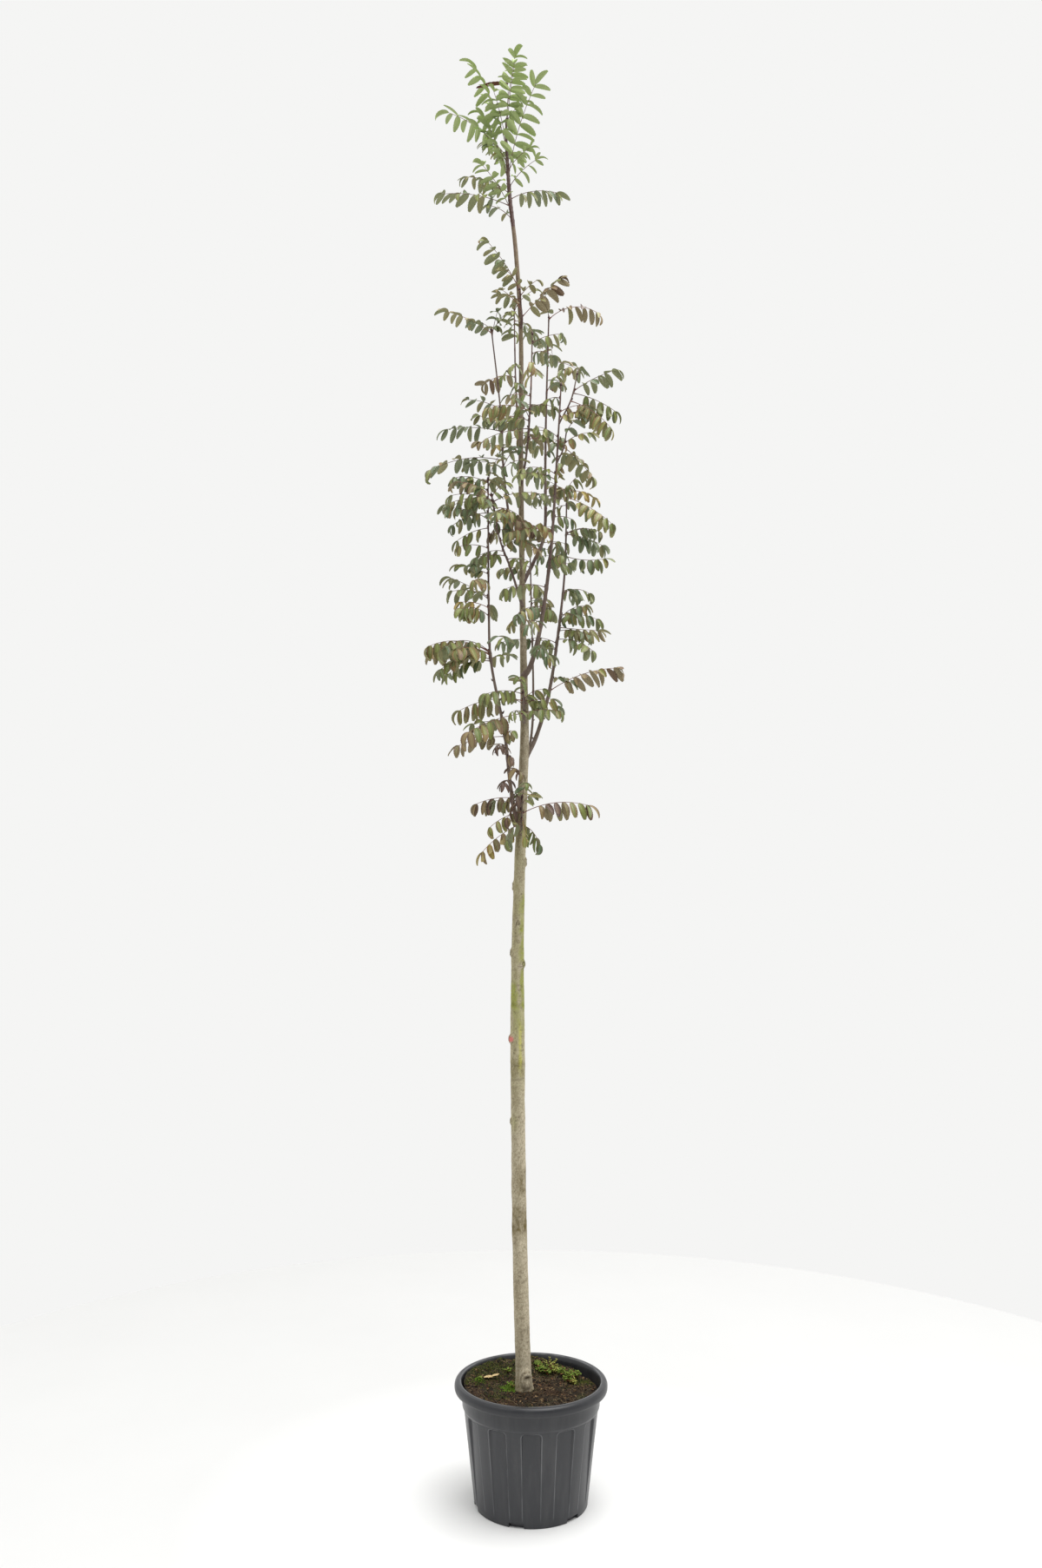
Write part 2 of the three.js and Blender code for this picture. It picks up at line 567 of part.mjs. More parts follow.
const others = [trunk, ...boughs.map((bough) => soundPiece(bough.solid))];
for (const shoot of SHOOTS) {
  const limbs = [trunkLine, ...shoot.bough,
    ...SHOOTS.filter((other) => other !== shoot).map((other) => other.line)];
  const mass = massSolid(shoot, limbs, others);
  others.push(soundPiece(mass));
  addNode(`leaves_${shoot.name}`, mass, MATERIALS.leaves);
}

export default group;
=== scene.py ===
"""The looks of a young potted rowan: bark, shoots, compound leaves, nursery pot and soil.

Sizes are in millimetres, and mesh_piece() makes metres of them. Bearings are in degrees:
0 is right, 90 back, 180 left, 270 front. Limbs and leaves grow by the same rule as the solids.
"""
import math
from dataclasses import dataclass, replace

import bpy
import numpy as np
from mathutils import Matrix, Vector, noise


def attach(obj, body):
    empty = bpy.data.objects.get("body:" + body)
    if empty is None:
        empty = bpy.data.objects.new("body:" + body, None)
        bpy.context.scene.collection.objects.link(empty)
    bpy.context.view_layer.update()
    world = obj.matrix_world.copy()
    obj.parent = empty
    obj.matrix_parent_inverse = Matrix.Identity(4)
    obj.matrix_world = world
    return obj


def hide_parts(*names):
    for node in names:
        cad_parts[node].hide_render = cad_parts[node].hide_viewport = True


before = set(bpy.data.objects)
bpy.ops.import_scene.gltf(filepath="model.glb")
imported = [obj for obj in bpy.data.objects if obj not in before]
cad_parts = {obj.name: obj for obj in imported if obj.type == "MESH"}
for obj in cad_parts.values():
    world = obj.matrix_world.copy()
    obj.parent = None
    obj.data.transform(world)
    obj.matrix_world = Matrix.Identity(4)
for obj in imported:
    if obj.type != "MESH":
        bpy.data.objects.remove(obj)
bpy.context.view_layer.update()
rng = np.random.default_rng(7)

# ---------------------------------------------------------------- the plant's plan


@dataclass
class Shoot:
    """A shoot, which the solids split into a bough and a mass of leaves.

    reach: leaves that stand out of the crown, as height, bearing, length, rise, tip rise and tint.
    small: leaves that the solids leave out, in the same terms.
    """
    name: str
    seed: int
    size: float  # the length of the leaves that the rule deals out
    rise: tuple  # their rise from the shoot at its root and at its tip
    hang: float  # how far their leaflets hang
    tints: tuple  # theirs in turn
    path: tuple = ()  # the shoot's bends
    split: float = 0  # the height where its bough turns to mass
    thick: tuple = (4, 2)  # its radius at root and tip
    fill: int = 0  # how many leaves the rule deals out
    extra: int = 0  # how many more are too small for the solids
    young: int = 3  # short leaves at its tip
    leafy: float = 1  # the share of its length that the extra leaves stand on
    lost: float = 0.06  # the share of leaflets that have dropped
    blades: tuple = (1, 0.38)  # its leaflets' length, as a share of the usual one, and their width
    reach: tuple = ()
    small: tuple = ()
    twigs: tuple = ()


@dataclass
class Twig:
    height: float
    bearing: float
    length: float
    rise: float
    thick: tuple
    reach: tuple


@dataclass
class Leaf:
    height: float
    bearing: float
    length: float
    rise: float
    tip_rise: float
    tint: str
    hang: float


# The trunk: x, y, z, radius, from under its foot to the tip of the leader.
TRUNK = np.array([
    [-20, 0, 280, 22.5], [-34, 0, 813, 21.5], [-39, -6, 1467, 19.5], [-31, -8, 1855, 16.2],
    [-18, 0, 2199, 13.6], [-21, 6, 2443, 10.5], [-26, 6, 2771, 8.4], [-29, 0, 3104, 7.5],
    [-29, -6, 3481, 6.9], [-45, -8, 3757, 6.8], [-65, -4, 3950, 6], [-76, 4, 4147, 4.2],
    [-75, 3, 4212, 3]], float)
CROWN_SPLIT = 3840  # above this height the leader is the stem of the top mass
FOOT_FLARE, FOOT_FADE = 5, 26  # how far the trunk spreads where it enters the soil
COLLAR_SWELL, COLLAR_FADE = 0.45, 22  # the swollen root of each bough
CLEAR = 5  # leaves keep this far from limbs that are not their own

# Healed pruning cuts: height, bearing, width, length along the trunk. The first is the graft's eye.
KNOBS = [
    (338, 293, 32, 46), (1062, 196, 15, 20), (1300, 206, 22, 26), (1520, 325, 20, 26),
    (1553, 200, 18, 24), (1640, 268, 16, 20), (1750, 182, 18, 24), (1823, 352, 20, 26)]
# Growth rings: height, depth, how tall.
GROWTH_RINGS = [
    (1184, 0.5, 3), (1227, 0.5, 3), (470, 0.4, 3), (478, -0.4, 3), (612, 0.4, 4), (905, 0.4, 3),
    (1402, 0.5, 4), (760, -0.4, 4)]

SHOOTS = [
    Shoot(
        "top", seed=11, size=270, rise=(62, 18), hang=22, tints=("fresh", "fresh", "green"),
        fill=4, extra=1, young=1, blades=(1, 0.32),
        reach=[
            (4200, 300, 244, 85, 60, "fresh"), (4110, 182, 345, 79, 58, "fresh"),
            (4062, 165, 340, 65, 22, "fresh"), (4008, 322, 345, 82, 50, "fresh"),
            (3955, 165, 205, 50, 0, "green"), (3935, 15, 205, 40, -15, "green"),
            (3912, 193, 262, 20, -20, "green"), (3866, 205, 118, 45, -25, "green")],
        small=[
            (4205, 180, 161, 93, -2, "dead"), (3985, 176, 300, 80, 58, "fresh"),
            (4120, 250, 200, 62, 20, "fresh"), (4060, 75, 190, 62, 15, "fresh")]),
    Shoot(
        "spur_high", seed=12, size=190, rise=(40, -10), hang=30, tints=("olive",),
        path=[(-31, -6, 3500), (-26, -26, 3524), (-33, -30, 3620)], fill=1, blades=(0.95, 0.4),
        reach=[(3530, 0, 205, 50, 43, "bronze"), (3614, 202, 215, 65, 35, "green")]),
    Shoot(
        "upper_right", seed=13, size=225, rise=(38, -28), hang=45, tints=("green", "dark", "olive"),
        path=[(-21, 8, 2691), (12, 35, 2763), (46, 60, 2866), (49, 85, 3079), (52, 98, 3258),
              (62, 110, 3598)],
        split=2900, thick=(6.2, 2.2), fill=4, extra=5, young=1, leafy=0.45, lost=0.2,
        reach=[(3592, 348, 215, 45, -60, "bronze"), (3442, 31, 150, 25, -30, "olive")]),
    Shoot(
        "upper_left", seed=14, size=215, rise=(36, -25), hang=45, tints=("dark", "green"),
        path=[(-28, 6, 2806), (-61, 40, 2885), (-84, 62, 3065), (-92, 74, 3248), (-124, 84, 3543)],
        split=2960, thick=(4.6, 2), fill=2, extra=4, young=2, leafy=0.5, lost=0.15,
        reach=[
            (3532, 168, 212, 42, 15, "olive"), (3276, 201, 145, 20, -15, "dark"),
            (3198, 180, 215, 15, -15, "dark"), (3142, 211, 115, 15, -20, "gold"),
            (3100, 180, 280, 15, -40, "dark")],
        small=[(3536, 323, 100, 50, 20, "green")]),
    Shoot(
        "upper_front", seed=15, size=215, rise=(34, -30), hang=50, tints=("green", "olive", "dark"),
        path=[(-27, -6, 2998), (-10, -50, 3093), (1, -95, 3245), (6, -120, 3428)],
        split=3110, thick=(3.8, 1.9), fill=3, extra=4, young=1, leafy=0.5, lost=0.25,
        reach=[(3401, 329, 130, 20, -25, "green")],
        small=[
            (3200, 215, 190, 10, -40, "olive"), (3150, 180, 170, 0, -35, "green"),
            (3120, 330, 160, 0, -40, "bronze"), (3060, 235, 150, -10, -50, "dark")]),
    Shoot(
        "upper_back", seed=16, size=230, rise=(36, -28), hang=45, tints=("green", "dark", "bronze"),
        path=[(-29, 4, 2997), (-34, 62, 3131), (-46, 112, 3384), (-51, 135, 3640)],
        split=3140, thick=(4.2, 2), fill=5, extra=3, young=1, leafy=0.4, lost=0.3),
    Shoot(
        "mid_right", seed=17, size=215, rise=(32, -34), hang=55, tints=("dark", "green", "olive"),
        path=[(-21, -2, 2390), (4, -30, 2428), (35, -60, 2557), (64, -80, 2786), (82, -95, 3067),
              (94, -100, 3274)],
        split=2690, thick=(8, 2.2), fill=3, extra=9, young=1,
        reach=[(2704, 20, 100, 40, -10, "green")],
        small=[
            (2730, 300, 90, 20, -30, "green"), (2650, 200, 170, 15, -40, "green"),
            (2590, 230, 170, 0, -50, "dark"), (2540, 250, 160, 10, -50, "green"),
            (2820, 205, 180, 10, -35, "olive"), (2980, 215, 170, 15, -35, "green"),
            (2470, 280, 130, 10, -50, "dark")],
        twigs=[
            Twig(3154, 345, 162, 62, (2.6, 1.8), [
                (3252, 350, 170, 35, 8, "green"), (3246, 12, 178, -5, -40, "green"),
                (3222, 336, 205, -25, -60, "olive")]),
            Twig(3030, 352, 105, 66, (2.4, 1.8), [
                (3092, 326, 120, 30, -25, "green"), (3080, 32, 165, -20, -60, "olive")])]),
    Shoot(
        "low_right", seed=18, size=215, rise=(30, -36), hang=62, tints=("green", "dark"),
        path=[(-15, 2, 2140), (19, 25, 2211), (57, 45, 2344), (83, 62, 2504), (109, 78, 2737),
              (118, 90, 3018)],
        split=2325, thick=(7.2, 2), fill=2, extra=7,
        reach=[
            (3012, 25, 130, 10, -30, "gold"), (2989, 339, 224, -25, -50, "lime"),
            (2865, 28, 172, 5, -25, "dark"), (2793, 330, 175, -25, 8, "green"),
            (2668, 38, 150, 40, -35, "green"), (2586, 329, 130, 50, -30, "dark"),
            (2560, 27, 180, 0, 6, "olive"), (2521, 334, 165, 0, -55, "green"),
            (2353, 352, 262, 35, -5, "bronze")],
        small=[
            (2600, 8, 150, 12, -30, "green"), (2548, 345, 130, 10, -45, "dark"),
            (2460, 255, 150, 10, -40, "green")]),
    Shoot(
        "low_left", seed=19, size=210, rise=(28, -36), hang=62, tints=("green", "dark"),
        path=[(-30, -8, 1880), (-60, -30, 2050), (-78, -50, 2208), (-118, -66, 2417),
              (-126, -75, 2586), (-129, -80, 2985)],
        split=2405, thick=(6.6, 2), fill=2, extra=5,
        reach=[
            (2974, 208, 145, 20, -35, "dark"), (2860, 207, 165, 25, -20, "dark"),
            (2833, 149, 150, 5, -35, "green"), (2613, 158, 185, 40, 20, "green"),
            (2586, 213, 125, 20, -25, "gold"), (2449, 206, 245, 30, -40, "olive")],
        small=[
            (2433, 41, 100, 25, 0, "green"), (2198, 187, 180, 0, -30, "bronze"),
            (2240, 165, 125, 12, -20, "green"), (2925, 178, 165, 10, -35, "green"),
            (2452, 184, 215, 36, -50, "bronze"), (2440, 232, 190, 20, -35, "olive"),
            (2425, 160, 180, 10, -45, "green"), (2200, 290, 100, 25, -35, "bronze"),
            (2165, 250, 100, 20, -40, "rust"), (2135, 280, 100, 15, -45, "rust"),
            (2100, 300, 100, 10, -50, "rust"), (2065, 255, 95, 10, -50, "rust"),
            (2030, 285, 100, 10, -60, "rust"), (2620, 200, 150, 25, -30, "green"),
            (2660, 250, 150, 10, -40, "olive"), (2452, 216, 235, 34, -62, "green"),
            (2430, 192, 200, 15, -55, "green"), (2445, 170, 215, 32, -35, "olive"),
            (2905, 186, 150, 20, -40, "green"), (2880, 166, 150, 5, -45, "dark"),
            (2770, 195, 120, 20, -35, "green"), (2690, 168, 130, 30, 5, "green")]),
    Shoot(
        "mid_left", seed=20, size=205, rise=(28, -36), hang=58, tints=("green", "dark", "bronze"),
        path=[(-24, 0, 2610), (-60, -50, 2714), (-94, -95, 2798), (-117, -125, 2920)],
        split=2722, thick=(4.2, 1.9), fill=3, extra=3,
        reach=[(2749, 211, 135, 0, -30, "green")],
        small=[
            (2900, 350, 190, 30, -30, "green"), (2850, 10, 180, 10, -40, "bronze"),
            (2790, 340, 150, 5, -50, "bronze"), (2915, 200, 150, 40, -20, "bronze"),
            (2740, 320, 150, 0, -50, "green"), (2870, 300, 130, 5, -50, "olive"),
            (2900, 190, 160, 30, -30, "green")]),
    Shoot(
        "low_back", seed=21, size=225, rise=(28, -36), hang=60, tints=("dark", "green", "olive"),
        path=[(-20, 2, 2090), (4, 60, 2222), (10, 105, 2372), (5, 140, 2620), (0, 160, 2875)],
        split=2480, thick=(4.6, 2), fill=5, extra=6),
    Shoot(
        "spur_mid", seed=22, size=185, rise=(22, -40), hang=66, tints=("green",),
        path=[(-19, 2, 2236), (-19, -24, 2262), (-22, -32, 2335)], fill=1, extra=2,
        reach=[
            (2310, 165, 250, 15, -35, "olive"), (2272, 196, 255, -10, -35, "bronze"),
            (2274, 330, 150, 10, -20, "green")],
        small=[(2330, 200, 180, 10, -30, "green"), (2300, 350, 120, 25, -20, "green")]),
    Shoot(
        "spur_low", seed=23, size=170, rise=(10, -60), hang=72, tints=("green",),
        path=[(-27, -6, 1895), (-27, -36, 1922), (-25, -44, 2015)],
        reach=[
            (1966, 358, 245, 30, -25, "bronze"), (2008, 158, 190, 15, -30, "bronze"),
            (1972, 205, 150, -10, -50, "lime"), (1936, 165, 185, -20, -55, "gold"),
            (1950, 275, 150, 0, -80, "lime"), (1945, 240, 140, -10, -80, "green")],
        small=[(2005, 232, 120, -20, -70, "rust"), (1932, 310, 140, -10, -80, "green")]),
]

LEAFLET_BASE, LEAFLET_PER_LENGTH = 29, 0.096  # the leaflets' length, from their leaf's
END_SHARE = 0.68  # how much of the end leaflet counts in the leaf's length, as its tip bends down
PAIR_EVERY, MOST_PAIRS = 36, 8  # a pair of leaflets for each so much of a leaf
FIRST_PAIR, LAST_PAIR = 0.27, 0.96  # where along the stalk the pairs stand
FILL_TURN = 137.5  # from the bearing of one leaf of the rule to the next one's
DODGES = (0, 20, -20, 40, -40, 60, -60)  # turns that a leaf tries until it passes the limbs

# Leaf tints: upper faces a and b, margin, midrib, underside and stalk.
TINTS = {
    "fresh": [
        (146, 166, 86), (126, 150, 78), (136, 158, 76), (174, 188, 112), (162, 176, 120), (98, 62, 52)],
    "green": [
        (126, 136, 70), (106, 121, 64), (116, 110, 67), (150, 154, 101), (146, 150, 113), (108, 74, 65)],
    "dark": [
        (98, 114, 74), (82, 102, 66), (98, 96, 67), (134, 142, 104), (138, 146, 116), (104, 72, 65)],
    "olive": [
        (132, 134, 74), (114, 120, 66), (134, 108, 67), (164, 156, 103), (154, 150, 111), (128, 82, 67)],
    "lime": [
        (146, 148, 76), (130, 136, 70), (152, 130, 73), (186, 180, 115), (166, 162, 111), (130, 92, 69)],
    "bronze": [
        (142, 124, 85), (124, 116, 75), (122, 98, 73), (160, 144, 107), (154, 142, 113), (128, 80, 69)],
    "gold": [
        (184, 158, 81), (162, 148, 77), (152, 118, 71), (198, 180, 113), (176, 162, 113), (140, 90, 67)],
    "rust": [
        (108, 84, 65), (90, 70, 57), (76, 54, 47), (126, 102, 79), (120, 100, 81), (98, 64, 57)],
    "dead": [
        (98, 52, 40), (80, 44, 36), (66, 40, 32), (104, 64, 50), (96, 60, 48), (92, 56, 46)],
}
LEAF_PARTS = ("a", "b", "margin", "rib", "under", "stalk")
TURNED = {  # how often a leaflet's tip has turned
    "fresh": 0, "green": 0.12, "dark": 0.08, "olive": 0.25, "lime": 0.25, "bronze": 0.3, "gold": 0.35,
    "rust": 0.25, "dead": 0}
KIN = {  # the tints that leaflets of a leaf may have in place of its own
    "fresh": ["fresh"], "green": ["dark", "olive"], "dark": ["green", "olive"],
    "olive": ["green", "green", "bronze"], "lime": ["olive", "green"],
    "bronze": ["olive", "green", "rust"], "gold": ["lime", "bronze"], "rust": ["bronze"]}
KIN_SHARE = 0.3

POT_BASE, POT_SHOULDER, SHOULDER_Z = 162, 193.5, 260  # the wall's radii at its foot and under the collar
PANEL_STEP, PANEL_ANGLE, PANEL_TOP, PANEL_FOOT = 30, 16, 256, 22  # twelve sunken panels
PANEL_HEAD_DEPTH, PANEL_FOOT_DEPTH, PANEL_CORNER = 6.5, 1, 9
NOTCH_STEP, NOTCH_ANGLE, NOTCH_HEIGHT, NOTCH_DEPTH = 60, 15, 12, 9  # six notches at the foot
POT_HEIGHT, MOUTH, RIM_INNER = 335, 201, 203.2
SOIL_LEVEL, SOIL_SWELL, SOIL_FLAT = 305, 14, 62
SOIL_RADIUS = 193.5  # where the soil meets the pot's inner wall

# ---------------------------------------------------------------- small helpers


def draws_from(seed):
    """Seeded draws between 0 and 1, the same ones as the solids' rule makes."""
    state, full = seed, 0xFFFFFFFF

    def draw():
        nonlocal state
        state = (state + 0x6D2B79F5) & full
        t = ((state ^ (state >> 15)) * (state | 1)) & full
        t = ((t + (((t ^ (t >> 7)) * (t | 61)) & full)) & full) ^ t
        return ((t ^ (t >> 14)) & full) / 4294967296
    return draw


def lerp(a, b, t):
    return a + (b - a) * t


def smooth(low, high, value):
    """0 up to low and 1 from high, with a soft step between them."""
    t = np.clip((np.asarray(value, float) - low) / (high - low), 0, 1)
    return t * t * (3 - 2 * t)


def swell(offset, width):
    """1 where the offset is 0, fading to 0 over about the width."""
    return np.exp(-(offset / width)**2)


def heading(bearing, rise):
    b, r = math.radians(bearing), math.radians(rise)
    return np.array([math.cos(b) * math.cos(r), math.sin(b) * math.cos(r), math.sin(r)])


def unit(v):
    v = np.asarray(v, float)
    return v / np.linalg.norm(v)


def around(sides):
    return 2 * np.pi * np.arange(sides) / sides


def linear(rgb):
    """The linear colour, with alpha, of a colour given in 0 to 255 steps."""
    c = np.array(rgb, float) / 255
    return (*np.where(c <= 0.04045, c / 12.92, ((c + 0.055) / 1.055) ** 2.4), 1.0)


def spline(knots, shares):
    """Points of the curve through the knots, at shares of its parameter."""
    knots = np.asarray(knots, float)
    ends = np.vstack([2 * knots[0] - knots[1], knots, 2 * knots[-1] - knots[-2]])
    at = np.clip(np.asarray(shares, float), 0, 1) * (len(knots) - 1)
    i = np.minimum(at.astype(int), len(knots) - 2)
    t = (at - i)[:, None]
    p0, p1, p2, p3 = (ends[i + k] for k in range(4))
    m1, m2 = (p2 - p0) / 2, (p3 - p1) / 2
    return p1 + m1 * t + (3 * (p2 - p1) - 2 * m1 - m2) * t**2 + (2 * (p1 - p2) + m1 + m2) * t**3


def even_spline(knots, step=5):
    """Evenly spaced points of the curve through the knots, and how far along each one is."""
    shares = np.linspace(0, 1, 60 * len(knots))
    points = spline(knots, shares)
    run = np.concatenate([[0], np.cumsum(np.linalg.norm(np.diff(points, axis=0), axis=1))])
    out = np.linspace(0, run[-1], max(int(run[-1] / step), 2) + 1)
    return spline(knots, np.interp(out, run, shares)), out


def rough(points, scale, depth=3, seed=0.0):
    """Smooth noise between about -1 and 1 at points in millimetres; scale is its grain."""
    shift = Vector((seed, -seed, 2 * seed))
    flat = np.asarray(points, float).reshape(-1, 3)
    values = [noise.fractal(Vector(p / scale) + shift, 1.0, 2.0, depth) for p in flat]
    return np.array(values).reshape(np.shape(points)[:-1])


# ---------------------------------------------------------------- meshes


class Pile:
    """Points and faces that gather into one mesh; each face has the index of its paint's name."""

    def __init__(self, names=()):
        self.points, self.faces, self.paints, self.names = [], [], [], list(names)
        self.size = 0

    def paint(self, name):
        if name not in self.names:
            self.names.append(name)
        return self.names.index(name)

    def grid(self, rows, paints, inside_out=False):
        """A closed skin through rings of points. paints: one index, or one for each face."""
        rows = np.asarray(rows)
        n, m = rows.shape[:2]
        i, j = np.meshgrid(np.arange(n - 1), np.arange(m), indexing="ij")
        k, ring = (j + 1) % m, np.arange(m)[None]
        quads = np.stack([i * m + j, i * m + k, (i + 1) * m + k, (i + 1) * m + j], -1).reshape(-1, 4)
        ends = [ring[:, ::-1], (n - 1) * m + ring]
        if inside_out:
            quads, ends = np.roll(quads[:, ::-1], 1, axis=1), [end[:, ::-1] for end in ends]
        for group in (quads, *ends):
            self.faces.extend((self.size + group).tolist())
        self.paints.append(np.broadcast_to(paints, len(quads) + 2))
        self.points.append(rows.reshape(-1, 3))
        self.size += n * m


def mesh_piece(name, pile, materials, nodes, sharp=60, masks=None):
    """Makes a piece of a pile's mesh, rides it on the plant's body and stands it for its nodes."""
    mesh = bpy.data.meshes.new(name)
    mesh.from_pydata((np.vstack(pile.points) / 1000).tolist(), [], pile.faces)
    for material in materials:
        mesh.materials.append(material)
    mesh.polygons.foreach_set("material_index", np.concatenate(pile.paints).astype(np.int32))
    for key, values in (masks or {}).items():
        mesh.attributes.new(key, "FLOAT", "POINT").data.foreach_set("value", values.astype(np.float32))
    mesh.shade_smooth()
    mesh.set_sharp_from_angle(angle=math.radians(sharp))
    mesh.update()
    piece = bpy.data.objects.new(name, mesh)
    bpy.context.scene.collection.objects.link(piece)
    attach(piece, "root")
    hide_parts(*nodes)


def rings(points, radii, sides):
    """Rings of points round a centre line. radii: one for each ring, or for each ring and side."""
    radii = np.asarray(radii, float)
    radii = np.broadcast_to(radii[:, None] if radii.ndim == 1 else radii, (len(points), sides))
    along = np.gradient(points, axis=0)
    along /= np.linalg.norm(along, axis=1, keepdims=True)
    turn = around(sides)[:, None]
    side = np.array([1.0, 0.0, 0.0]) if abs(along[0][0]) < 0.9 else np.array([0.0, 1.0, 0.0])
    rows = np.empty((len(points), sides, 3))
    for i, (centre, axis) in enumerate(zip(points, along)):
        side = unit(side - axis * side.dot(axis))
        rows[i] = centre + radii[i][:, None] * (np.cos(turn) * side + np.sin(turn) * np.cross(axis, side))
    return rows


def tube(pile, points, radii, sides, paint):
    pile.grid(rings(np.asarray(points, float), radii, sides), paint)


# ---------------------------------------------------------------- materials


class Paint:
    """A material and short ways to make and join its nodes."""

    def __init__(self, name, roughness, specular):
        self.material = bpy.data.materials.new(name)
        self.material.use_nodes = True
        self.tree = self.material.node_tree
        self.shader = self.tree.nodes["Principled BSDF"]
        self.shader.inputs["Roughness"].default_value = roughness
        self.shader.inputs["Specular IOR Level"].default_value = specular

    def node(self, kind, inputs, **settings):
        node = self.tree.nodes.new("ShaderNode" + kind)
        for key, value in settings.items():
            setattr(node, key, value)
        for key, value in inputs.items():
            if isinstance(value, bpy.types.NodeSocket):
                self.tree.links.new(value, node.inputs[key])
            else:
                node.inputs[key].default_value = value
        return node

    def place(self, scale=(1, 1, 1)):
        """The object's own coordinates, stretched."""
        where = self.node("TexCoord", {}).outputs["Object"]
        return self.node("Mapping", {"Vector": where, "Scale": scale}).outputs["Vector"]

    def height(self):
        return self.node("SeparateXYZ", {"Vector": self.place()}).outputs["Z"]

    def mask(self, name):
        """A point attribute of the mesh as a value."""
        return self.node("Attribute", {}, attribute_name=name).outputs["Fac"]

    def noise(self, scale, detail, roughness=0.55, tall=1.0):
        """Noise; the smaller tall is, the longer its grains stand upright."""
        return self.node("TexNoise", {
            "Vector": self.place((1, 1, tall)), "Scale": scale, "Detail": detail,
            "Roughness": roughness}).outputs["Fac"]

    def ramp(self, value, *stops):
        """Maps a value through (position, colour) stops; a plain number is a grey."""
        node = self.node("ValToRGB", {"Fac": value})
        marks = node.color_ramp.elements
        while len(marks) < len(stops):
            marks.new(0.5)
        for mark, (position, colour) in zip(marks, stops):
            mark.position = position
            mark.color = linear(colour) if isinstance(colour, tuple) else (colour, colour, colour, 1)
        return node.outputs["Color"]

    def mix(self, share, first, second):
        """The first colour, with a share of the second over it."""
        first, second = (linear(c) if isinstance(c, tuple) else c for c in (first, second))
        return self.node("Mix", {0: share, 6: first, 7: second}, data_type="RGBA").outputs[2]

    def math(self, operation, first, second):
        return self.node("Math", {0: first, 1: second}, operation=operation).outputs[0]

    def times(self, first, second):
        return self.math("MULTIPLY", first, second)

    def plus(self, first, second):
        return self.math("ADD", first, second)

    def finish(self, colour, rough=None, height=None, distance=0.001, strength=1.0):
        """Links what varies over the surface; the bump's distance is in metres."""
        link = self.tree.links.new
        link(colour, self.shader.inputs["Base Color"])
        if rough is not None:
            link(rough, self.shader.inputs["Roughness"])
        if height is not None:
            bump = self.node("Bump", {"Height": height, "Distance": distance, "Strength": strength})
            link(bump.outputs["Normal"], self.shader.inputs["Normal"])
        return self.material


def plain(name, rgb, roughness, specular=0.4):
    """One tint of something dealt out by spray."""
    paint = Paint(name, roughness, specular)
    paint.shader.inputs["Base Color"].default_value = linear(rgb)
    return paint.material


def trunk_bark():
    paint = Paint("trunk_bark", roughness=0.78, specular=0.3)
    patch, fine = paint.noise(26, 5, tall=0.4), paint.noise(250, 4, 0.65, tall=0.8)
    coarse, pale = paint.noise(90, 4, tall=0.6), paint.noise(310, 4, 0.6, tall=1.3)
    height = paint.plus(paint.math("DIVIDE", paint.height(), 4.5), paint.times(patch, 0.03))
    colour = paint.ramp(
        height, (0.08, (158, 147, 122)), (0.2, (158, 148, 124)), (0.3, (154, 144, 116)),
        (0.38, (146, 136, 106)), (0.46, (132, 120, 92)), (0.55, (122, 106, 84)), (0.7, (112, 95, 80)),
        (0.9, (94, 66, 58)))
    old = paint.ramp(height, (0.5, 1.0), (0.68, 0.25))
    for share, tint in (
            (paint.ramp(patch, (0.46, 0.0), (0.6, 0.5)), (112, 98, 70)),
            (paint.times(old, paint.ramp(coarse, (0.46, 0.0), (0.62, 0.5))), (190, 180, 154)),
            # The pale mask: painted light on the trunk's sides, with the pale rings round the healed cuts.
            (paint.times(paint.mask("pale"), 0.7), (218, 206, 180)),
            (paint.ramp(fine, (0.45, 0.0), (0.62, 0.6)), (112, 100, 74)),
            (paint.times(old, paint.ramp(pale, (0.5, 0.0), (0.66, 0.6))), (196, 186, 160)),
            (paint.times(paint.mask("damp"), paint.ramp(coarse, (0.35, 1.0), (0.6, 0.4))), (104, 90, 48)),
            (paint.times(paint.mask("algae"), paint.ramp(fine, (0.38, 1.0), (0.6, 0.4))), (146, 154, 58)),
            (paint.times(paint.mask("lichen"), paint.ramp(pale, (0.4, 0.2), (0.58, 0.8))), (200, 198, 92)),
            (paint.mask("scar"), (84, 72, 50)),
            (paint.mask("sealant"), (226, 112, 116))):
        colour = paint.mix(share, colour, tint)
    relief = paint.plus(paint.times(paint.noise(420, 5, tall=2.4), 0.5), paint.times(fine, 0.5))
    return paint.finish(colour, paint.ramp(patch, (0.3, 0.68), (0.7, 0.86)), relief, 0.0014, 0.9)


def shoot_bark():
    paint = Paint("shoot_bark", roughness=0.6, specular=0.4)
    patch = paint.noise(40, 5, tall=0.3)
    height = paint.plus(paint.math("DIVIDE", paint.height(), 4.5), paint.times(patch, 0.04))
    colour = paint.ramp(
        height, (0.42, (116, 104, 90)), (0.52, (112, 96, 86)), (0.62, (98, 78, 72)),
        (0.75, (88, 64, 58)), (0.9, (80, 54, 50)))
    colour = paint.mix(paint.ramp(patch, (0.45, 0.0), (0.7, 0.6)), colour, (134, 122, 110))
    flecks = paint.ramp(paint.noise(420, 3, 0.5, tall=0.6), (0.62, 0.0), (0.68, 1.0))
    colour = paint.mix(paint.times(flecks, 0.7), colour, (168, 150, 128))
    relief = paint.plus(paint.times(paint.noise(700, 4, tall=0.25), 0.4), paint.times(flecks, 0.4))
    return paint.finish(colour, paint.ramp(patch, (0.3, 0.45), (0.7, 0.75)), relief, 0.0006, 0.7)


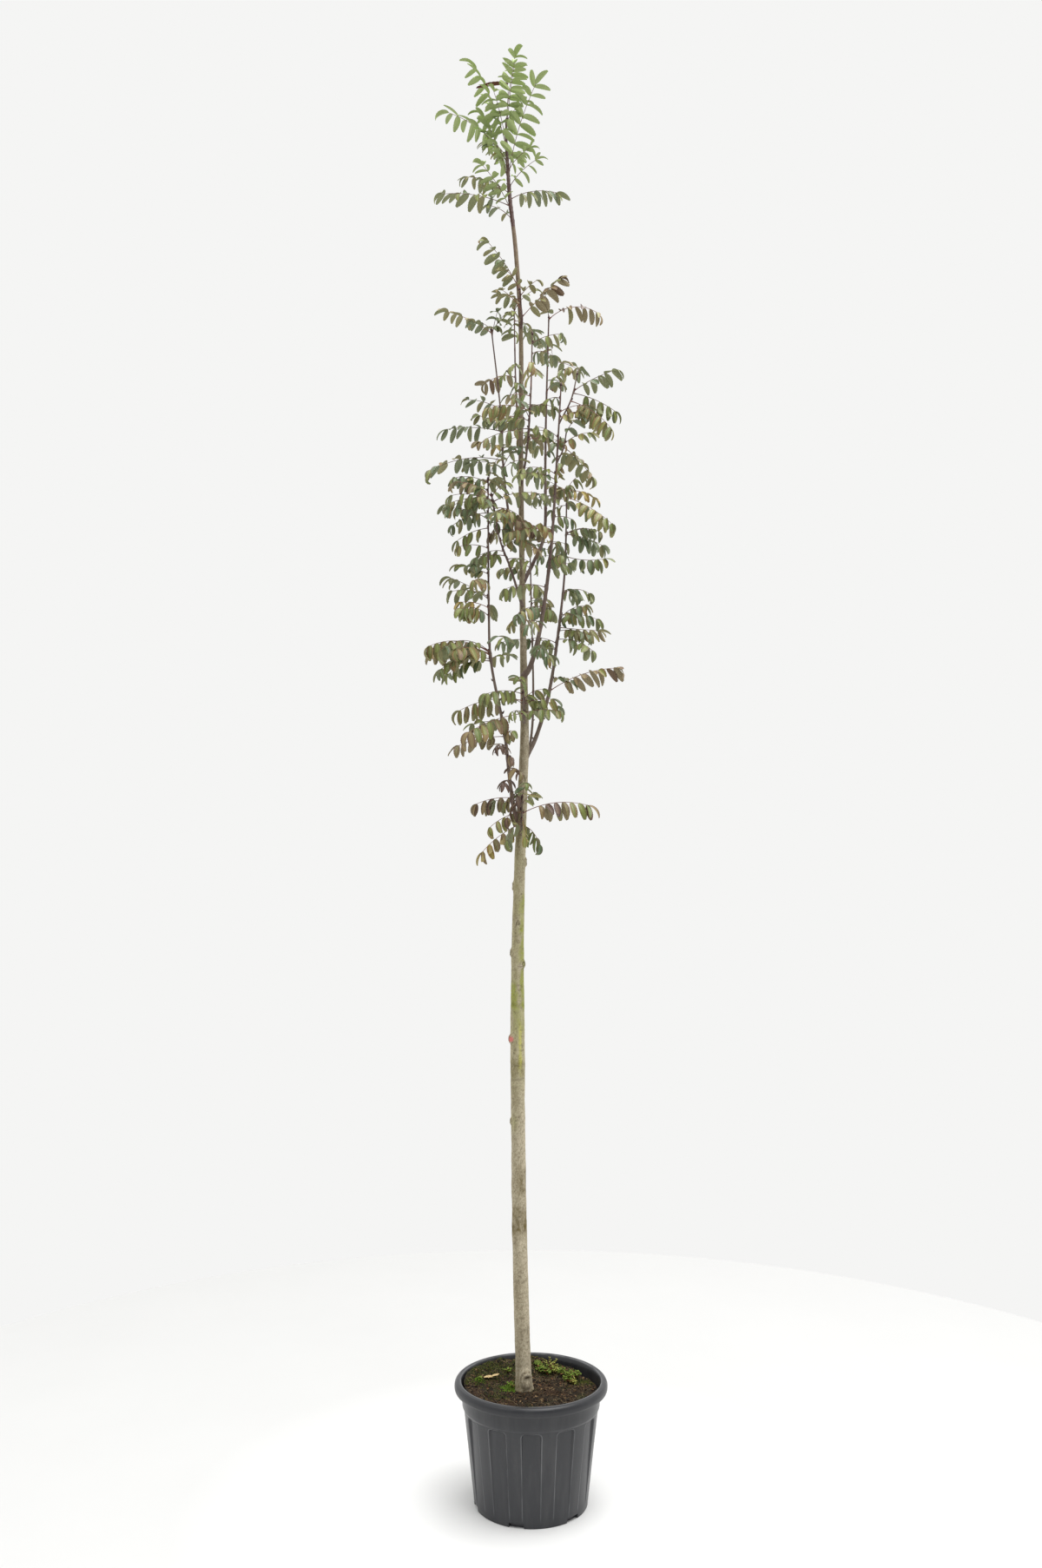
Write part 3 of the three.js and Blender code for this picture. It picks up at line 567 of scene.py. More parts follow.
def pot_plastic():
    """Black plastic with dust in streaks, a rim darkened with painted shade, and pale painted highlights
    along the edges.
    """
    paint = Paint("pot_plastic", roughness=0.34, specular=0.5)
    streak = paint.noise(30, 5, 0.6, tall=0.12)
    dust = paint.times(paint.ramp(streak, (0.45, 0.0), (0.75, 1.0)), paint.noise(9, 3))
    # Painted shade: the rim is painted darker, standing in for the dark front that its skirt reflects.
    painted_rim_shade = paint.ramp(paint.math("DIVIDE", paint.height(), POT_HEIGHT / 1000), (0.9, 0.0), (0.93, 0.6))
    # Painted highlight: pale lines where the rounded edges catch the light, broken up by the streaks.
    edge_highlight = paint.times(paint.mask("edge_highlight"), paint.ramp(streak, (0.35, 0.05), (0.65, 0.4)))
    colour = paint.mix(dust, (42, 43, 47), (74, 74, 75))
    colour = paint.mix(paint.ramp(paint.noise(260, 2), (0.72, 0.0), (0.76, 0.3)), colour, (116, 108, 96))
    colour = paint.mix(edge_highlight, paint.mix(painted_rim_shade, colour, (34, 35, 39)), (160, 162, 164))
    grit = paint.noise(900, 2)
    return paint.finish(colour, paint.ramp(dust, (0.0, 0.31), (0.5, 0.48)), grit, 0.0003, 0.2)


def soil_mix():
    paint = Paint("soil_mix", roughness=0.95, specular=0.15)
    clod, crumb, tone = paint.noise(60, 6, 0.65), paint.noise(320, 5, 0.7), paint.noise(14, 3)
    colour = paint.ramp(clod, (0.34, (20, 17, 13)), (0.5, (36, 30, 23)), (0.68, (70, 60, 47)))
    for share, tint in (
            (paint.ramp(crumb, (0.52, 0.0), (0.66, 0.7)), (98, 84, 64)),
            (paint.ramp(tone, (0.54, 0.0), (0.64, 0.7)), (62, 64, 34)),
            (paint.ramp(tone, (0.38, 0.6), (0.48, 0.0)), (70, 52, 38))):
        colour = paint.mix(share, colour, tint)
    return paint.finish(colour, paint.ramp(clod, (0.3, 0.7), (0.7, 1.0)), crumb, 0.003, 1.0)


def floor_matte():
    """A pale floor with painted light: lightest round the pot, lifting its shadow, and darker further out.
    """
    paint = Paint("floor_matte", roughness=0.7, specular=0.2)
    centre = paint.place((0.4, 0.4, 0.4))
    away = paint.node("VectorMath", {"Vector": centre}, operation="LENGTH").outputs["Value"]
    # Painted light: paler within about 0.2 m of the middle, to lift the pot's shadow.
    colour = paint.ramp(away, (0.08, (246, 246, 245)), (0.4, (222, 222, 221)))
    grain = paint.ramp(paint.noise(2.5, 3), (0.3, 0.0), (0.7, 0.02))
    return paint.finish(paint.mix(grain, colour, (120, 120, 120)))


# ---------------------------------------------------------------- limbs


class Limb:
    """A limb's centre line from its root up, with its radii."""

    def __init__(self, points, radii):
        self.points, self.radii = np.asarray(points, float), np.asarray(radii, float)
        self.bottom, self.top = self.points[0][2], self.points[-1][2]

    def at(self, z):
        heights = self.points[:, 2]
        return np.array([np.interp(z, heights, self.points[:, k]) for k in range(3)])

    def radius(self, z):
        return float(np.interp(z, self.points[:, 2], self.radii))

    def direction(self, z):
        return unit(self.at(min(z + 6, self.top)) - self.at(max(z - 6, self.bottom)))

    def above(self, z):
        keep = self.points[:, 2] > z + 1
        return Limb(np.vstack([self.at(z), self.points[keep]]),
                    np.concatenate([[self.radius(z)], self.radii[keep]]))

    def clears(self, points, margin):
        """Whether all the points are further than the margin from the limb's skin."""
        line = self.points[::5]
        start, step = line[:-1], np.diff(line, axis=0)
        gap = np.asarray(points, float)[:, None] - start
        share = np.clip((gap * step).sum(-1) / (step * step).sum(-1), 0, 1)
        away = np.linalg.norm(gap - share[..., None] * step, axis=-1)
        return (away > self.radii[::5][:-1] + margin).all()


def trunk_radius(z):
    flare = FOOT_FLARE * np.exp(-np.maximum(z - SOIL_LEVEL, 0) / FOOT_FADE)
    return np.interp(z, TRUNK[:, 2], TRUNK[:, 3]) + flare


def leader_limb():
    points, _ = even_spline(TRUNK[:, :3])
    return Limb(points, trunk_radius(points[:, 2]))


def shoot_limb(shoot):
    root, tip = shoot.thick
    points, out = even_spline(shoot.path)
    taper = lerp(root, tip, (out / out[-1])**0.75)
    return Limb(points, taper + root * COLLAR_SWELL * np.exp(-out / COLLAR_FADE))


def twig_limb(stem, twig):
    start = stem.at(twig.height)
    middle = start + heading(twig.bearing, twig.rise) * twig.length / 2
    end = middle + heading(twig.bearing, twig.rise + 14) * twig.length / 2
    points, out = even_spline([start, middle, end])
    root, tip = twig.thick
    return Limb(points, lerp(root, tip, out / out[-1]) + 0.8 * np.exp(-out / 8))


def bud(pile, base, direction, length, paint, fat=0.3):
    """A pointed bud: scales swell from its base and close to a tip."""
    points = base + np.outer(np.linspace(0, 1, 7) * length, direction)
    width = length * fat * np.array([0.62, 0.95, 1.0, 0.86, 0.6, 0.32, 0.05])
    tube(pile, points, width, 6, paint)


# ---------------------------------------------------------------- leaves


def leaves_of(stem, shoot, draw):
    """The leaves that the solids' rule grows on a stem, from the same draws."""
    leaves = [Leaf(*row, shoot.hang + 24 * (draw() - 0.5)) for row in shoot.reach]
    first = 360 * draw()
    for i in range(shoot.fill):
        bearing = first + i * FILL_TURN + 30 * (draw() - 0.5)
        sideways = abs(math.cos(math.radians(bearing)))
        leaves.append(Leaf(
            lerp(stem.bottom + 12, stem.top - 3, (i + 0.35 + 0.3 * draw()) / shoot.fill), bearing,
            shoot.size * (1 - 0.38 * sideways) * (0.86 + 0.24 * draw()),
            shoot.rise[0] + 20 * (draw() - 0.5), shoot.rise[1] + 24 * (draw() - 0.5),
            shoot.tints[i % len(shoot.tints)], shoot.hang + 30 * (draw() - 0.5)))
    return leaves


def finer_leaves(stem, shoot, draw):
    """Leaves that the solids leave out: short ones between the others, and young ones at the tip."""
    leaves = [Leaf(*row, shoot.hang - 5) for row in shoot.small]
    first = 360 * draw()
    for k in range(shoot.young):
        leaves.append(Leaf(
            stem.top - 6 - 16 * k, first + 125 * k, lerp(85, 125, draw()), 66 - 12 * k,
            lerp(25, -25, draw()), shoot.tints[0], shoot.hang - 10))
    high = lerp(stem.bottom, stem.top, shoot.leafy) - 10
    for i in range(shoot.extra):
        bearing = first + i * FILL_TURN + 40 * (draw() - 0.5)
        sideways = abs(math.cos(math.radians(bearing)))
        leaves.append(Leaf(
            lerp(stem.bottom + 20, high, (i + 0.5) / shoot.extra), bearing,
            shoot.size * (1 - 0.38 * sideways) * (0.6 + 0.25 * draw()),
            shoot.rise[0] + 24 * (draw() - 0.5), shoot.rise[1] + 30 * (draw() - 0.5),
            shoot.tints[(i + 1) % len(shoot.tints)], shoot.hang + 70 * (draw() - 0.6)))
    return leaves


def leaflet_length(leaf):
    return LEAFLET_BASE + LEAFLET_PER_LENGTH * leaf.length


def stalk_line(root, leaf, steps=12):
    """The stalk of a leaf, which arches from one rise towards another."""
    points = [root]
    stride = (leaf.length - END_SHARE * leaflet_length(leaf)) / steps
    for i in range(steps):
        bent = (i + 0.5) * stride / leaf.length
        rise = lerp(leaf.rise, leaf.tip_rise, bent**8 if leaf.tint == "dead" else bent)
        points.append(points[-1] + heading(leaf.bearing, rise) * stride)
    return np.array(points)


STATIONS = 17  # rings of points along a leaflet
ACROSS = np.array([-1, -0.62, -0.07, 0.07, 0.62, 1, 0.62, 0, -0.62])  # upper side, then under it
LIFT = np.array([0, 0, -0.15, -0.15, 0, 0, -0.42, -0.95, -0.42])  # off the upper side's plane
MARGIN, VEINED = np.abs(ACROSS) == 1, np.abs(ACROSS) == 0.62
TOOTH_OUT, TOOTH_AHEAD, VEIN_HEIGHT = 0.08, 0.35, 0.28


def leaflet(pile, root, direction, up, length, width, bend, fold, twist, tint, turned):
    """A toothed blade, folded along its sunken midrib, bent down and twisted towards its tip."""
    up = unit(up - direction * up.dot(direction))
    wide = np.cross(up, direction)
    t = np.linspace(0, 1, STATIONS)
    tooth = (np.arange(STATIONS) % 2)[:, None]
    half = width / 2 * np.sin(np.pi * np.clip(t, 0.012, 0.988)**0.94)**0.42 * (1 - 0.16 * t**4)
    angle = bend * t
    between = (angle[1:] + angle[:-1]) / 2
    reach, drop = (np.cumsum([0, *step]) / (STATIONS - 1) for step in (np.cos(between), np.sin(between)))
    centre = root + length * (np.outer(reach, direction) - np.outer(drop, up))
    ahead = np.outer(np.cos(angle), direction) - np.outer(np.sin(angle), up)
    over = np.outer(np.cos(angle), up) + np.outer(np.sin(angle), direction)
    turn = (twist * t)[:, None]
    wide, over = np.cos(turn) * wide + np.sin(turn) * over, np.cos(turn) * over - np.sin(turn) * wide
    spread = half[:, None] * ACROSS * (1 + TOOTH_OUT * tooth * MARGIN)
    veins = VEIN_HEIGHT * np.cos(2 * np.pi * np.arange(STATIONS) / 3)[:, None] * VEINED
    lift = np.abs(spread) * math.sin(fold) + LIFT * min(width / 15, 1) + veins
    slide = TOOTH_AHEAD * tooth * MARGIN * length / STATIONS
    rows = (centre[:, None] + spread[..., None] * math.cos(fold) * wide[:, None]
            + lift[..., None] * over[:, None] + slide[..., None] * ahead[:, None])
    face, margin, rib, under = (
        pile.paint(f"{tint}_{part}") for part in ("ab"[int(length * 7) % 2], "margin", "rib", "under"))
    strips = np.array([margin, face, rib, face, margin, under, under, under, under])
    paints = np.tile(strips, (STATIONS - 1, 1))
    paints[np.ix_(t[:-1] > turned, [0, 1, 3, 4])] = margin
    pile.grid(rows, [*paints.ravel(), under, margin], inside_out=True)


def grow_leaf(pile, stem, leaf, shoot, limbs, draw):
    """One compound leaf on a stem, turned to pass the limbs in its way."""
    root = stem.at(np.clip(leaf.height, stem.bottom + 8, stem.top - 1))
    for dodge in DODGES:
        turned = replace(leaf, bearing=leaf.bearing + dodge)
        line = stalk_line(root, turned)
        if all(limb.clears(line[4:], CLEAR + 2) for limb in limbs):
            break
    else:
        return
    share = np.linspace(0, 1, len(line))
    radii = lerp(1.25, 0.7, share) + 1.1 * np.exp(-share * 22)
    tube(pile, line, radii, 6, pile.paint(f"{leaf.tint}_stalk"))
    dead, fresh = leaf.tint == "dead", leaf.tint == "fresh"
    size, slim = leaflet_length(leaf) * shoot.blades[0], shoot.blades[1]
    if dead:
        size, slim = leaf.length * 0.72, 0.2
    pairs = 0 if dead else int(np.clip(round(leaf.length / PAIR_EVERY), 3, MOST_PAIRS))
    roll = math.radians(40 * (draw() - 0.5))
    slack = 56 * (draw() - 0.72)  # how much more its blades hang
    breadth = 0.9 + 0.34 * draw()
    level_share = 0.55 if fresh else 1  # young blades stand out level
    least, most = (0.6, 0.95) if fresh else (0.15, 0.85)
    face_up = lerp(least, most, draw())  # how far its blades turn to the light
    level = heading(turned.bearing + 90, 0)
    blades = []
    for k in range(pairs):
        along = k / (pairs - 1)
        at = lerp(FIRST_PAIR, LAST_PAIR, along)
        here, (low, high) = spline(line, [at])[0], spline(line, [at - 0.02, at + 0.02])
        ahead = unit(high - low)
        up = unit(np.cross(ahead, level))
        bulge = 0.78 + 0.3 * math.sin(math.pi * (0.2 + 0.68 * along))
        slip = 5 * (draw() - 0.5)
        for hand in (1, -1):
            hang = turned.hang + slack + 38 * (draw() - 0.5)
            hang = (math.radians(np.clip(hang, 0, 84)) + hand * roll) * level_share
            splay = math.radians(lerp(82, 58, along) + 16 * (draw() - 0.5))
            out = hand * level * math.cos(hang) - up * math.sin(hang)
            direction = unit(ahead * math.cos(splay) + out * math.sin(splay))
            over = hand * np.cross(direction, -ahead)
            if draw() > shoot.lost:
                blades.append((here + ahead * slip, direction, over, size * bulge, 1))
    last = heading(turned.bearing, lerp(leaf.rise, leaf.tip_rise, 1.0 if dead else 0.8) - 10 * draw())
    blades.append((line[-1] - last * 3, last, np.cross(last, level), size * (1 if dead else 0.94), 1.9))
    for here, direction, over, long, droop in blades:
        long *= 0.9 + 0.18 * draw()
        tips = here + np.outer([0.35, 0.7, 1.0], direction) * long
        if not all(limb.clears(tips, CLEAR) for limb in limbs):
            continue
        skyward = np.array([0, 0, 1]) - direction * direction[2]
        sway = 1.1 * (draw() - 0.5) * np.cross(direction, skyward)
        over = unit(over) * (1 - face_up) + skyward * face_up + sway
        bend = math.radians(8 if dead else (16 + 50 * draw()) * droop)
        fold = math.radians(66 if dead else 8 + 26 * draw())
        twist = math.radians(50 * (draw() - 0.5))
        tint = leaf.tint
        if draw() < KIN_SHARE and not dead:
            tint = KIN[tint][int(draw() * len(KIN[tint]))]
        burnt = lerp(0.35, 0.95, draw()) if draw() < TURNED[tint] else 2
        width = long * slim * breadth * (0.92 + 0.16 * draw())
        leaflet(pile, here, direction, over, long, width, bend, fold, twist, tint, burnt)


def leaf_material(name):
    """The paint of one part of a leaf, which the name gives after its tint."""
    made = bpy.data.materials.get("leaf_" + name)
    if made:
        return made
    tint, part = name.split("_")
    dull = part == "under" or tint == "dead"
    rgb = TINTS[tint][LEAF_PARTS.index(part)]
    return plain("leaf_" + name, rgb, 0.7 if dull else 0.46, 0.25 if dull else 0.45)


# ---------------------------------------------------------------- the tree

TRUNK_SIDES = 48
EYE = (345, 293, 20, 7)  # the slit of the graft's eye, as a knob
SEALED = (1300, 216, 19, 19)  # the patch of pink sealant


def dress_trunk(leader, shoots):
    """The trunk's skin up to the top mass, with healed cuts, bough collars, uneven bark and painted light
    on its sides.
    """
    turn = around(TRUNK_SIDES)
    heights = np.concatenate([np.arange(296, 2000, 4.5), np.arange(2000, CROWN_SPLIT, 7), [CROWN_SPLIT]])
    z = heights[:, None]
    centres = np.array([leader.at(height) for height in heights])
    base = trunk_radius(z) + 1.4 * swell(z - 1290, 120) + np.zeros(TRUNK_SIDES)
    skin = rings(centres, base, TRUNK_SIDES)
    radii = base + 0.9 * rough(skin, 60, 3) * base / 20 + 0.28 * rough(skin * [1, 1, 2.2], 9, 2, 5)
    foot = np.exp(-np.maximum(z - SOIL_LEVEL, 0) / 30)
    radii += foot * (2.2 * np.cos(3 * turn + 0.6) + 1.2 * np.cos(7 * turn))
    scar, pale_rings = np.zeros_like(radii), np.zeros_like(radii)

    def far_from(height, bearing, width, length):
        """Distance over the skin from the middle of an oval, 1 at its edge."""
        across = (np.degrees(turn) - bearing + 180) % 360 - 180
        return np.hypot(np.radians(across) * base / (width / 2), (z - height) / (length / 2))

    def facing(low, high, bearing):
        return smooth(low, high, np.cos(turn - math.radians(bearing)))

    def band(low, high, fade=22):
        return smooth(low - fade, low + fade, z) * (1 - smooth(high - fade, high + fade, z))

    for height, bearing, width, length in KNOBS:
        far = far_from(height, bearing, width, length)
        slit = swell(far_from(height + length * 0.22, bearing, width * 0.8, length * 0.22), 1)
        radii += width * (
            0.24 * (1 - smooth(0.5, 1.5, far)) + 0.07 * swell(far - 0.72, 0.16) - 0.1 * swell(far, 0.4)
            + 0.016 * np.cos(far * 13) * swell(far - 1.1, 0.5) - 0.05 * slit)
        scar = np.maximum(np.maximum(scar, slit), swell(far - 0.5, 0.16) + 0.4 * swell(far - 1.05, 0.12))
        pale_rings = np.maximum(pale_rings, swell(far - 0.8, 0.14) + 0.6 * swell(far - 1.3, 0.14))
    eye = far_from(*KNOBS[0])
    brow = swell(eye - 1, 0.1) * smooth(-4, 8, z - KNOBS[0][0])
    brow = np.maximum(brow, 1.2 * swell(far_from(*EYE), 1))
    scar = np.maximum(scar * np.where(eye < 1.2, 0.5, 1), brow)
    pale_rings = np.maximum(pale_rings, 1.2 * (1 - smooth(0.5, 0.9, eye)) * (0.6 + 0.4 * np.cos(eye * 14)))
    for shoot in shoots:
        root, out = np.array(shoot.path[:2], float)
        x, y, _ = out - leader.at(out[2])
        size = shoot.thick[0] * 3.4
        far = far_from(lerp(root[2], out[2], 0.4), math.degrees(math.atan2(y, x)), size, size * 1.5)
        radii += size * 0.1 * swell(far, 0.9)
        scar = np.maximum(scar, 0.35 * swell(far - 1, 0.3))
    for height, depth, tall in GROWTH_RINGS:
        wave = swell(z - height + 3 * np.cos(turn + height), tall)
        wave *= facing(-0.3, 0.4, 250 - math.degrees(height * 0.01))
        radii -= depth * wave
        scar = np.maximum(scar, 0.75 * abs(depth) * wave)
    wrinkles = rough(skin * [0.35, 0.35, 1], 3.2, 2, 11)
    radii -= 0.4 * smooth(0.25, 0.6, wrinkles) * base / 20
    scar = np.maximum(scar, 0.45 * smooth(0.3, 0.6, wrinkles))

    # Painted light: the sides facing right and left are painted paler, as where light falls on them. The
    # pale mask holds this together with the pale rings round the cuts.
    right = facing(-0.2, 0.9, 330)
    lit = (right + 0.6 * facing(0.5, 1, 185)) * (0.8 + 0.35 * rough(skin * [1, 1, 0.2], 14, 3, 21))
    patchy = 0.6 + 0.9 * rough(skin * [1, 1, 0.5], 22, 3, 31)
    streak, narrow = swell(np.degrees(turn) - 316, 32), swell(np.degrees(turn) - 293, 13)
    algae = (band(1392, 1462, 18) + 0.45 * band(1320, 1400)) * (0.15 + 1.2 * patchy)
    algae += 1.3 * band(1450, 1720) * streak * patchy + (0.1 + 0.12 * patchy) * band(1120, 2000, 120)
    damp = band(745, 815, 24) + band(858, 925, 30) * right + 0.7 * band(1190, 1236, 14)
    damp += 0.4 * band(290, 330) + band(1396, 1404, 8)
    masks = {
        "scar": scar,
        "pale": np.clip(lit * (1 - 0.8 * smooth(2200, 3100, z)) + pale_rings, 0, 1.4),
        "algae": np.clip(algae + 0.3 * band(1040, 1080) * (1 - right), 0, 1),
        "lichen": np.clip(1.5 * band(1200, 1345) * narrow * patchy, 0, 1),
        "damp": np.clip(damp * (0.3 + 1.3 * patchy), 0, 1),
        "sealant": smooth(1.05, 0.7, far_from(*SEALED)) * (0.45 + 0.6 * patchy)}
    pile = Pile()
    pile.grid(rings(centres, radii, TRUNK_SIDES), pile.paint("bark"))
    add_specks(pile, leader, heights, radii)
    bare = np.zeros(pile.size - radii.size)
    masks = {key: np.concatenate([mask.ravel(), bare]) for key, mask in masks.items()}
    materials = [trunk_bark(), plain("bark_speck", (164, 152, 126), 0.8, 0.2)]
    mesh_piece("bark_trunk", pile, materials, ["trunk"], 75, masks)


def add_specks(pile, leader, heights, radii):
    """Raised pores that lie across the bark."""
    for a, b, c in rng.random((260, 3)):
        height, bearing = 330 + 2600 * a**1.15, 360 * b
        out, level = heading(bearing, 0), heading(bearing + 90, 0)
        row = min(np.searchsorted(heights, height), len(heights) - 1)
        seat = leader.at(height) + out * (radii[row, int(round(b * TRUNK_SIDES)) % TRUNK_SIDES] - 0.35)
        long, tall = 1.1 + 1.6 * c, 0.55 + 0.4 * c
        ring = np.array([
            level * long * math.cos(q) + np.array([0, 0, tall * math.sin(q)]) for q in around(8)])
        pile.grid([seat + ring, seat + 0.55 * out + ring * 0.7, seat + 0.75 * out + ring * 0.2],
                  pile.paint("speck"))


def dress_shoot(shoot, lines, leaves, bark):
    """A shoot's bark and its twigs', with a bud and a scar at each leaf."""
    pile = Pile()
    skin, tip_bud = pile.paint("bark"), pile.paint("bud")
    draw = draws_from(shoot.seed + 300)
    for k, (line, owned) in enumerate(zip(lines, leaves)):
        sides = 14 if k == 0 else 10
        body = rings(line.points, line.radii, sides)
        radii = line.radii[:, None] * (1 + 0.05 * rough(body, 26, 3)) + 0.12 * rough(body, 4, 2, 3)
        for leaf in owned:
            radii += (0.16 * line.radii * swell(line.points[:, 2] - leaf.height + 3, 5))[:, None]
        pile.grid(rings(line.points, radii, sides), skin)
        for leaf in owned:
            z = float(np.clip(leaf.height, line.bottom + 8, line.top - 4))
            up, out = line.direction(z), heading(leaf.bearing, 0)
            seat = line.at(z) + out * line.radius(z) * 0.75 + up * 3
            bud(pile, seat, unit(up + 0.45 * out), 6.5 + 2 * draw(), tip_bud)
        up = line.direction(line.top)
        bud(pile, line.points[-1] - up * 2, up, 11 + 3 * draw(), tip_bud)
        spur = max(line.bottom, 0) + 60
        while k == 0 and spur < shoot.split:
            out, up = heading(360 * draw(), 0), line.direction(spur)
            seat = line.at(spur) + out * line.radius(spur) * 0.8
            bud(pile, seat, unit(up + 0.9 * out), 7 + 6 * draw(), skin if draw() < 0.5 else tip_bud, 0.24)
            spur += 38 + 30 * draw()
    nodes = [f"leaves_{shoot.name}"] + ([f"bough_{shoot.name}"] if shoot.split else [])
    materials = [bark, bpy.data.materials.get("shoot_bud") or plain("shoot_bud", (72, 46, 44), 0.5)]
    mesh_piece(f"shoot_{shoot.name}", pile, materials, nodes, 75)


def grow_tree():
    leader, bark = leader_limb(), shoot_bark()
    limbs = {shoot.name: shoot_limb(shoot) if shoot.path else leader.above(CROWN_SPLIT - 2)
             for shoot in SHOOTS}
    below = leader.points[:, 2] < CROWN_SPLIT
    trunk = Limb(leader.points[below], leader.radii[below])
    dress_trunk(leader, [shoot for shoot in SHOOTS if shoot.path])
    for shoot in SHOOTS:
        limb = limbs[shoot.name]
        stem = limb.above(shoot.split) if shoot.split else limb
        draw, detail = draws_from(shoot.seed), draws_from(shoot.seed + 100)
        twigs = [twig_limb(stem, twig) for twig in shoot.twigs]
        plans = [replace(shoot, fill=0, extra=0, small=(), reach=twig.reach) for twig in shoot.twigs]
        others = [trunk] + [other for name, other in limbs.items() if name != shoot.name]
        pile, owned = Pile(), []
        for line, plan in zip([stem, *twigs], [shoot, *plans]):
            leaves = leaves_of(line, plan, draw) + finer_leaves(line, plan, detail)
            owned.append(leaves)
            for leaf in leaves:
                grow_leaf(pile, line if leaf.height > line.bottom else limb, leaf, shoot, others, detail)
        dress_shoot(shoot, [limb, *twigs], owned, bark)
        materials = [leaf_material(name) for name in pile.names]
        mesh_piece(f"foliage_{shoot.name}", pile, materials, [f"leaves_{shoot.name}"], 50)


# ---------------------------------------------------------------- pot

# The collar, the flat under the lip, the lip, and the inner wall down into the soil.
LIP = [
    (193.2, 258.6), (193.8, 261.5), (197.3, 263.6), (198.6, 284), (200, 306), (202, 308.8), (217.6, 308.8),
    (219.8, 310.6), (220.9, 318), (220.2, 326), (217, 332), (211.5, 334.9), (204.5, POT_HEIGHT),
    (201.2, 333.2), (197.8, 322), (195.8, 300), (192.5, 270), (184, 262), (162, 110)]


def round_corners(profile, cut):
    """Cuts each corner of a profile twice, for a moulded edge; the ends stay."""
    points = np.array(profile, float)
    for reach in (cut, 0.4 * cut):
        fresh = [points[0]]
        for a, b, c in zip(points, points[1:], points[2:]):
            for end in (a, c):
                fresh.append(lerp(b, end, min(reach / max(np.linalg.norm(end - b), 1e-6), 0.5)))
        points = np.array(fresh + [points[-1]])
    return points


FIRST_NOTCH = 255  # the bearing of a notch's middle


def dress_pot():
    columns = np.concatenate([
        np.linspace(-15, -9.4, 6), np.arange(-9.1, -6.5, 0.25), np.linspace(-6.2, 6.2, 13),
        np.arange(6.6, 9.2, 0.25), np.linspace(9.4, 13.9, 5)])  # closest at the panels' sides
    degrees = (np.arange(0, 360, PANEL_STEP)[:, None] + columns).ravel()
    turn, half = np.radians(degrees), PANEL_STEP / 2
    panel = np.abs((degrees + half) % PANEL_STEP - half)
    off_notch = np.abs((degrees - FIRST_NOTCH + NOTCH_STEP / 2) % NOTCH_STEP - NOTCH_STEP / 2)
    notch = off_notch < NOTCH_ANGLE / 2 + 0.05
    wall_z = np.concatenate([
        [1.2, 4, 8, 11.6, 12.4, 16, 20, 24, 30], np.arange(38, 240, 8), np.arange(240, 260, 1.25)])
    rows = [(POT_BASE - 12, 0), (POT_BASE - 1.2, 0)]
    rows += [(lerp(POT_BASE, POT_SHOULDER, z / SHOULDER_Z), z) for z in wall_z]
    profile = np.array(rows + round_corners(LIP, 2.6).tolist())
    radius = np.repeat(profile[:, :1], degrees.size, axis=1)
    height = np.repeat(profile[:, 1:], degrees.size, axis=1)
    z = profile[:, 1]
    outer = np.arange(len(profile)) < len(rows)
    across = np.radians(panel - PANEL_ANGLE / 2) * profile[:, :1] + PANEL_CORNER
    over = (z - PANEL_TOP + PANEL_CORNER)[:, None]
    edge = PANEL_CORNER - np.hypot(np.maximum(across, 0), np.maximum(over, 0))  # how far inside a panel
    foot = smooth(PANEL_FOOT - 10, PANEL_FOOT + 12, z)
    depth = np.interp(z, [PANEL_FOOT, PANEL_TOP], [PANEL_FOOT_DEPTH, PANEL_HEAD_DEPTH])
    radius -= (outer * foot * depth)[:, None] * smooth(-2.2, 2.2, edge)
    for i in np.flatnonzero(outer & (z < NOTCH_HEIGHT)):
        radius[i, notch] = POT_BASE - NOTCH_DEPTH + (z[i] >= 11)
        height[i, notch] = NOTCH_HEIGHT * min(z[i] / 11, 1)
    wobble = 0.35 * np.cos(2 * turn + 1.0) + 0.2 * np.cos(3 * turn)
    radius += wobble * (smooth(100, 330, z) * np.where(z > 325, 0.5, 1))[:, None] - 0.3
    # Painted highlights: pale lines along the panels' edges and round the top of the lip, where the rounded
    # edges catch the light.
    edge_highlight = (outer * foot)[:, None] * swell(edge + 2, 1.1)
    edge_highlight += ((z > 332) * swell(profile[:, 0] - RIM_INNER, 1.6))[:, None]
    pile = Pile()
    pile.grid(np.stack([radius * np.cos(turn), radius * np.sin(turn), height], -1), pile.paint("wall"))
    mesh_piece("pot_shell", pile, [pot_plastic()], ["pot"], 40, {"edge_highlight": edge_highlight.ravel()})


# ---------------------------------------------------------------- soil

HEAP_BEARING = 140  # where the mix lies highest against the wall
SKIRT_Z = 262  # how far down its skirt reaches inside the pot
CRUMBS, FIBRES = 2600, 640
LITTER = {
    "umber": (54, 42, 31), "brown": (80, 62, 44), "tan": (124, 102, 74), "black": (32, 27, 23),
    "straw": (160, 142, 110), "russet": (112, 82, 58)}
GREENS = {
    "moss": (88, 92, 40), "moss_dark": (56, 64, 32), "cushion": (104, 138, 40), "leaf": (116, 138, 54),
    "leaf_pale": (156, 160, 80), "leaf_red": (126, 78, 50), "cream": (202, 178, 130)}
# Moss: middle, spread, how many shoots, how high they mound.
MOSS = [
    (-140, 70, 36, 520, 0), (-100, 130, 34, 420, 0), (-168, 5, 20, 200, 0), (-20, 165, 40, 320, 0),
    (-58, 0, 12, 520, 17), (-150, 16, 8, 90, 6), (-95, -70, 20, 110, 0), (150, 60, 26, 240, 2),
    (90, 140, 40, 320, 2)]
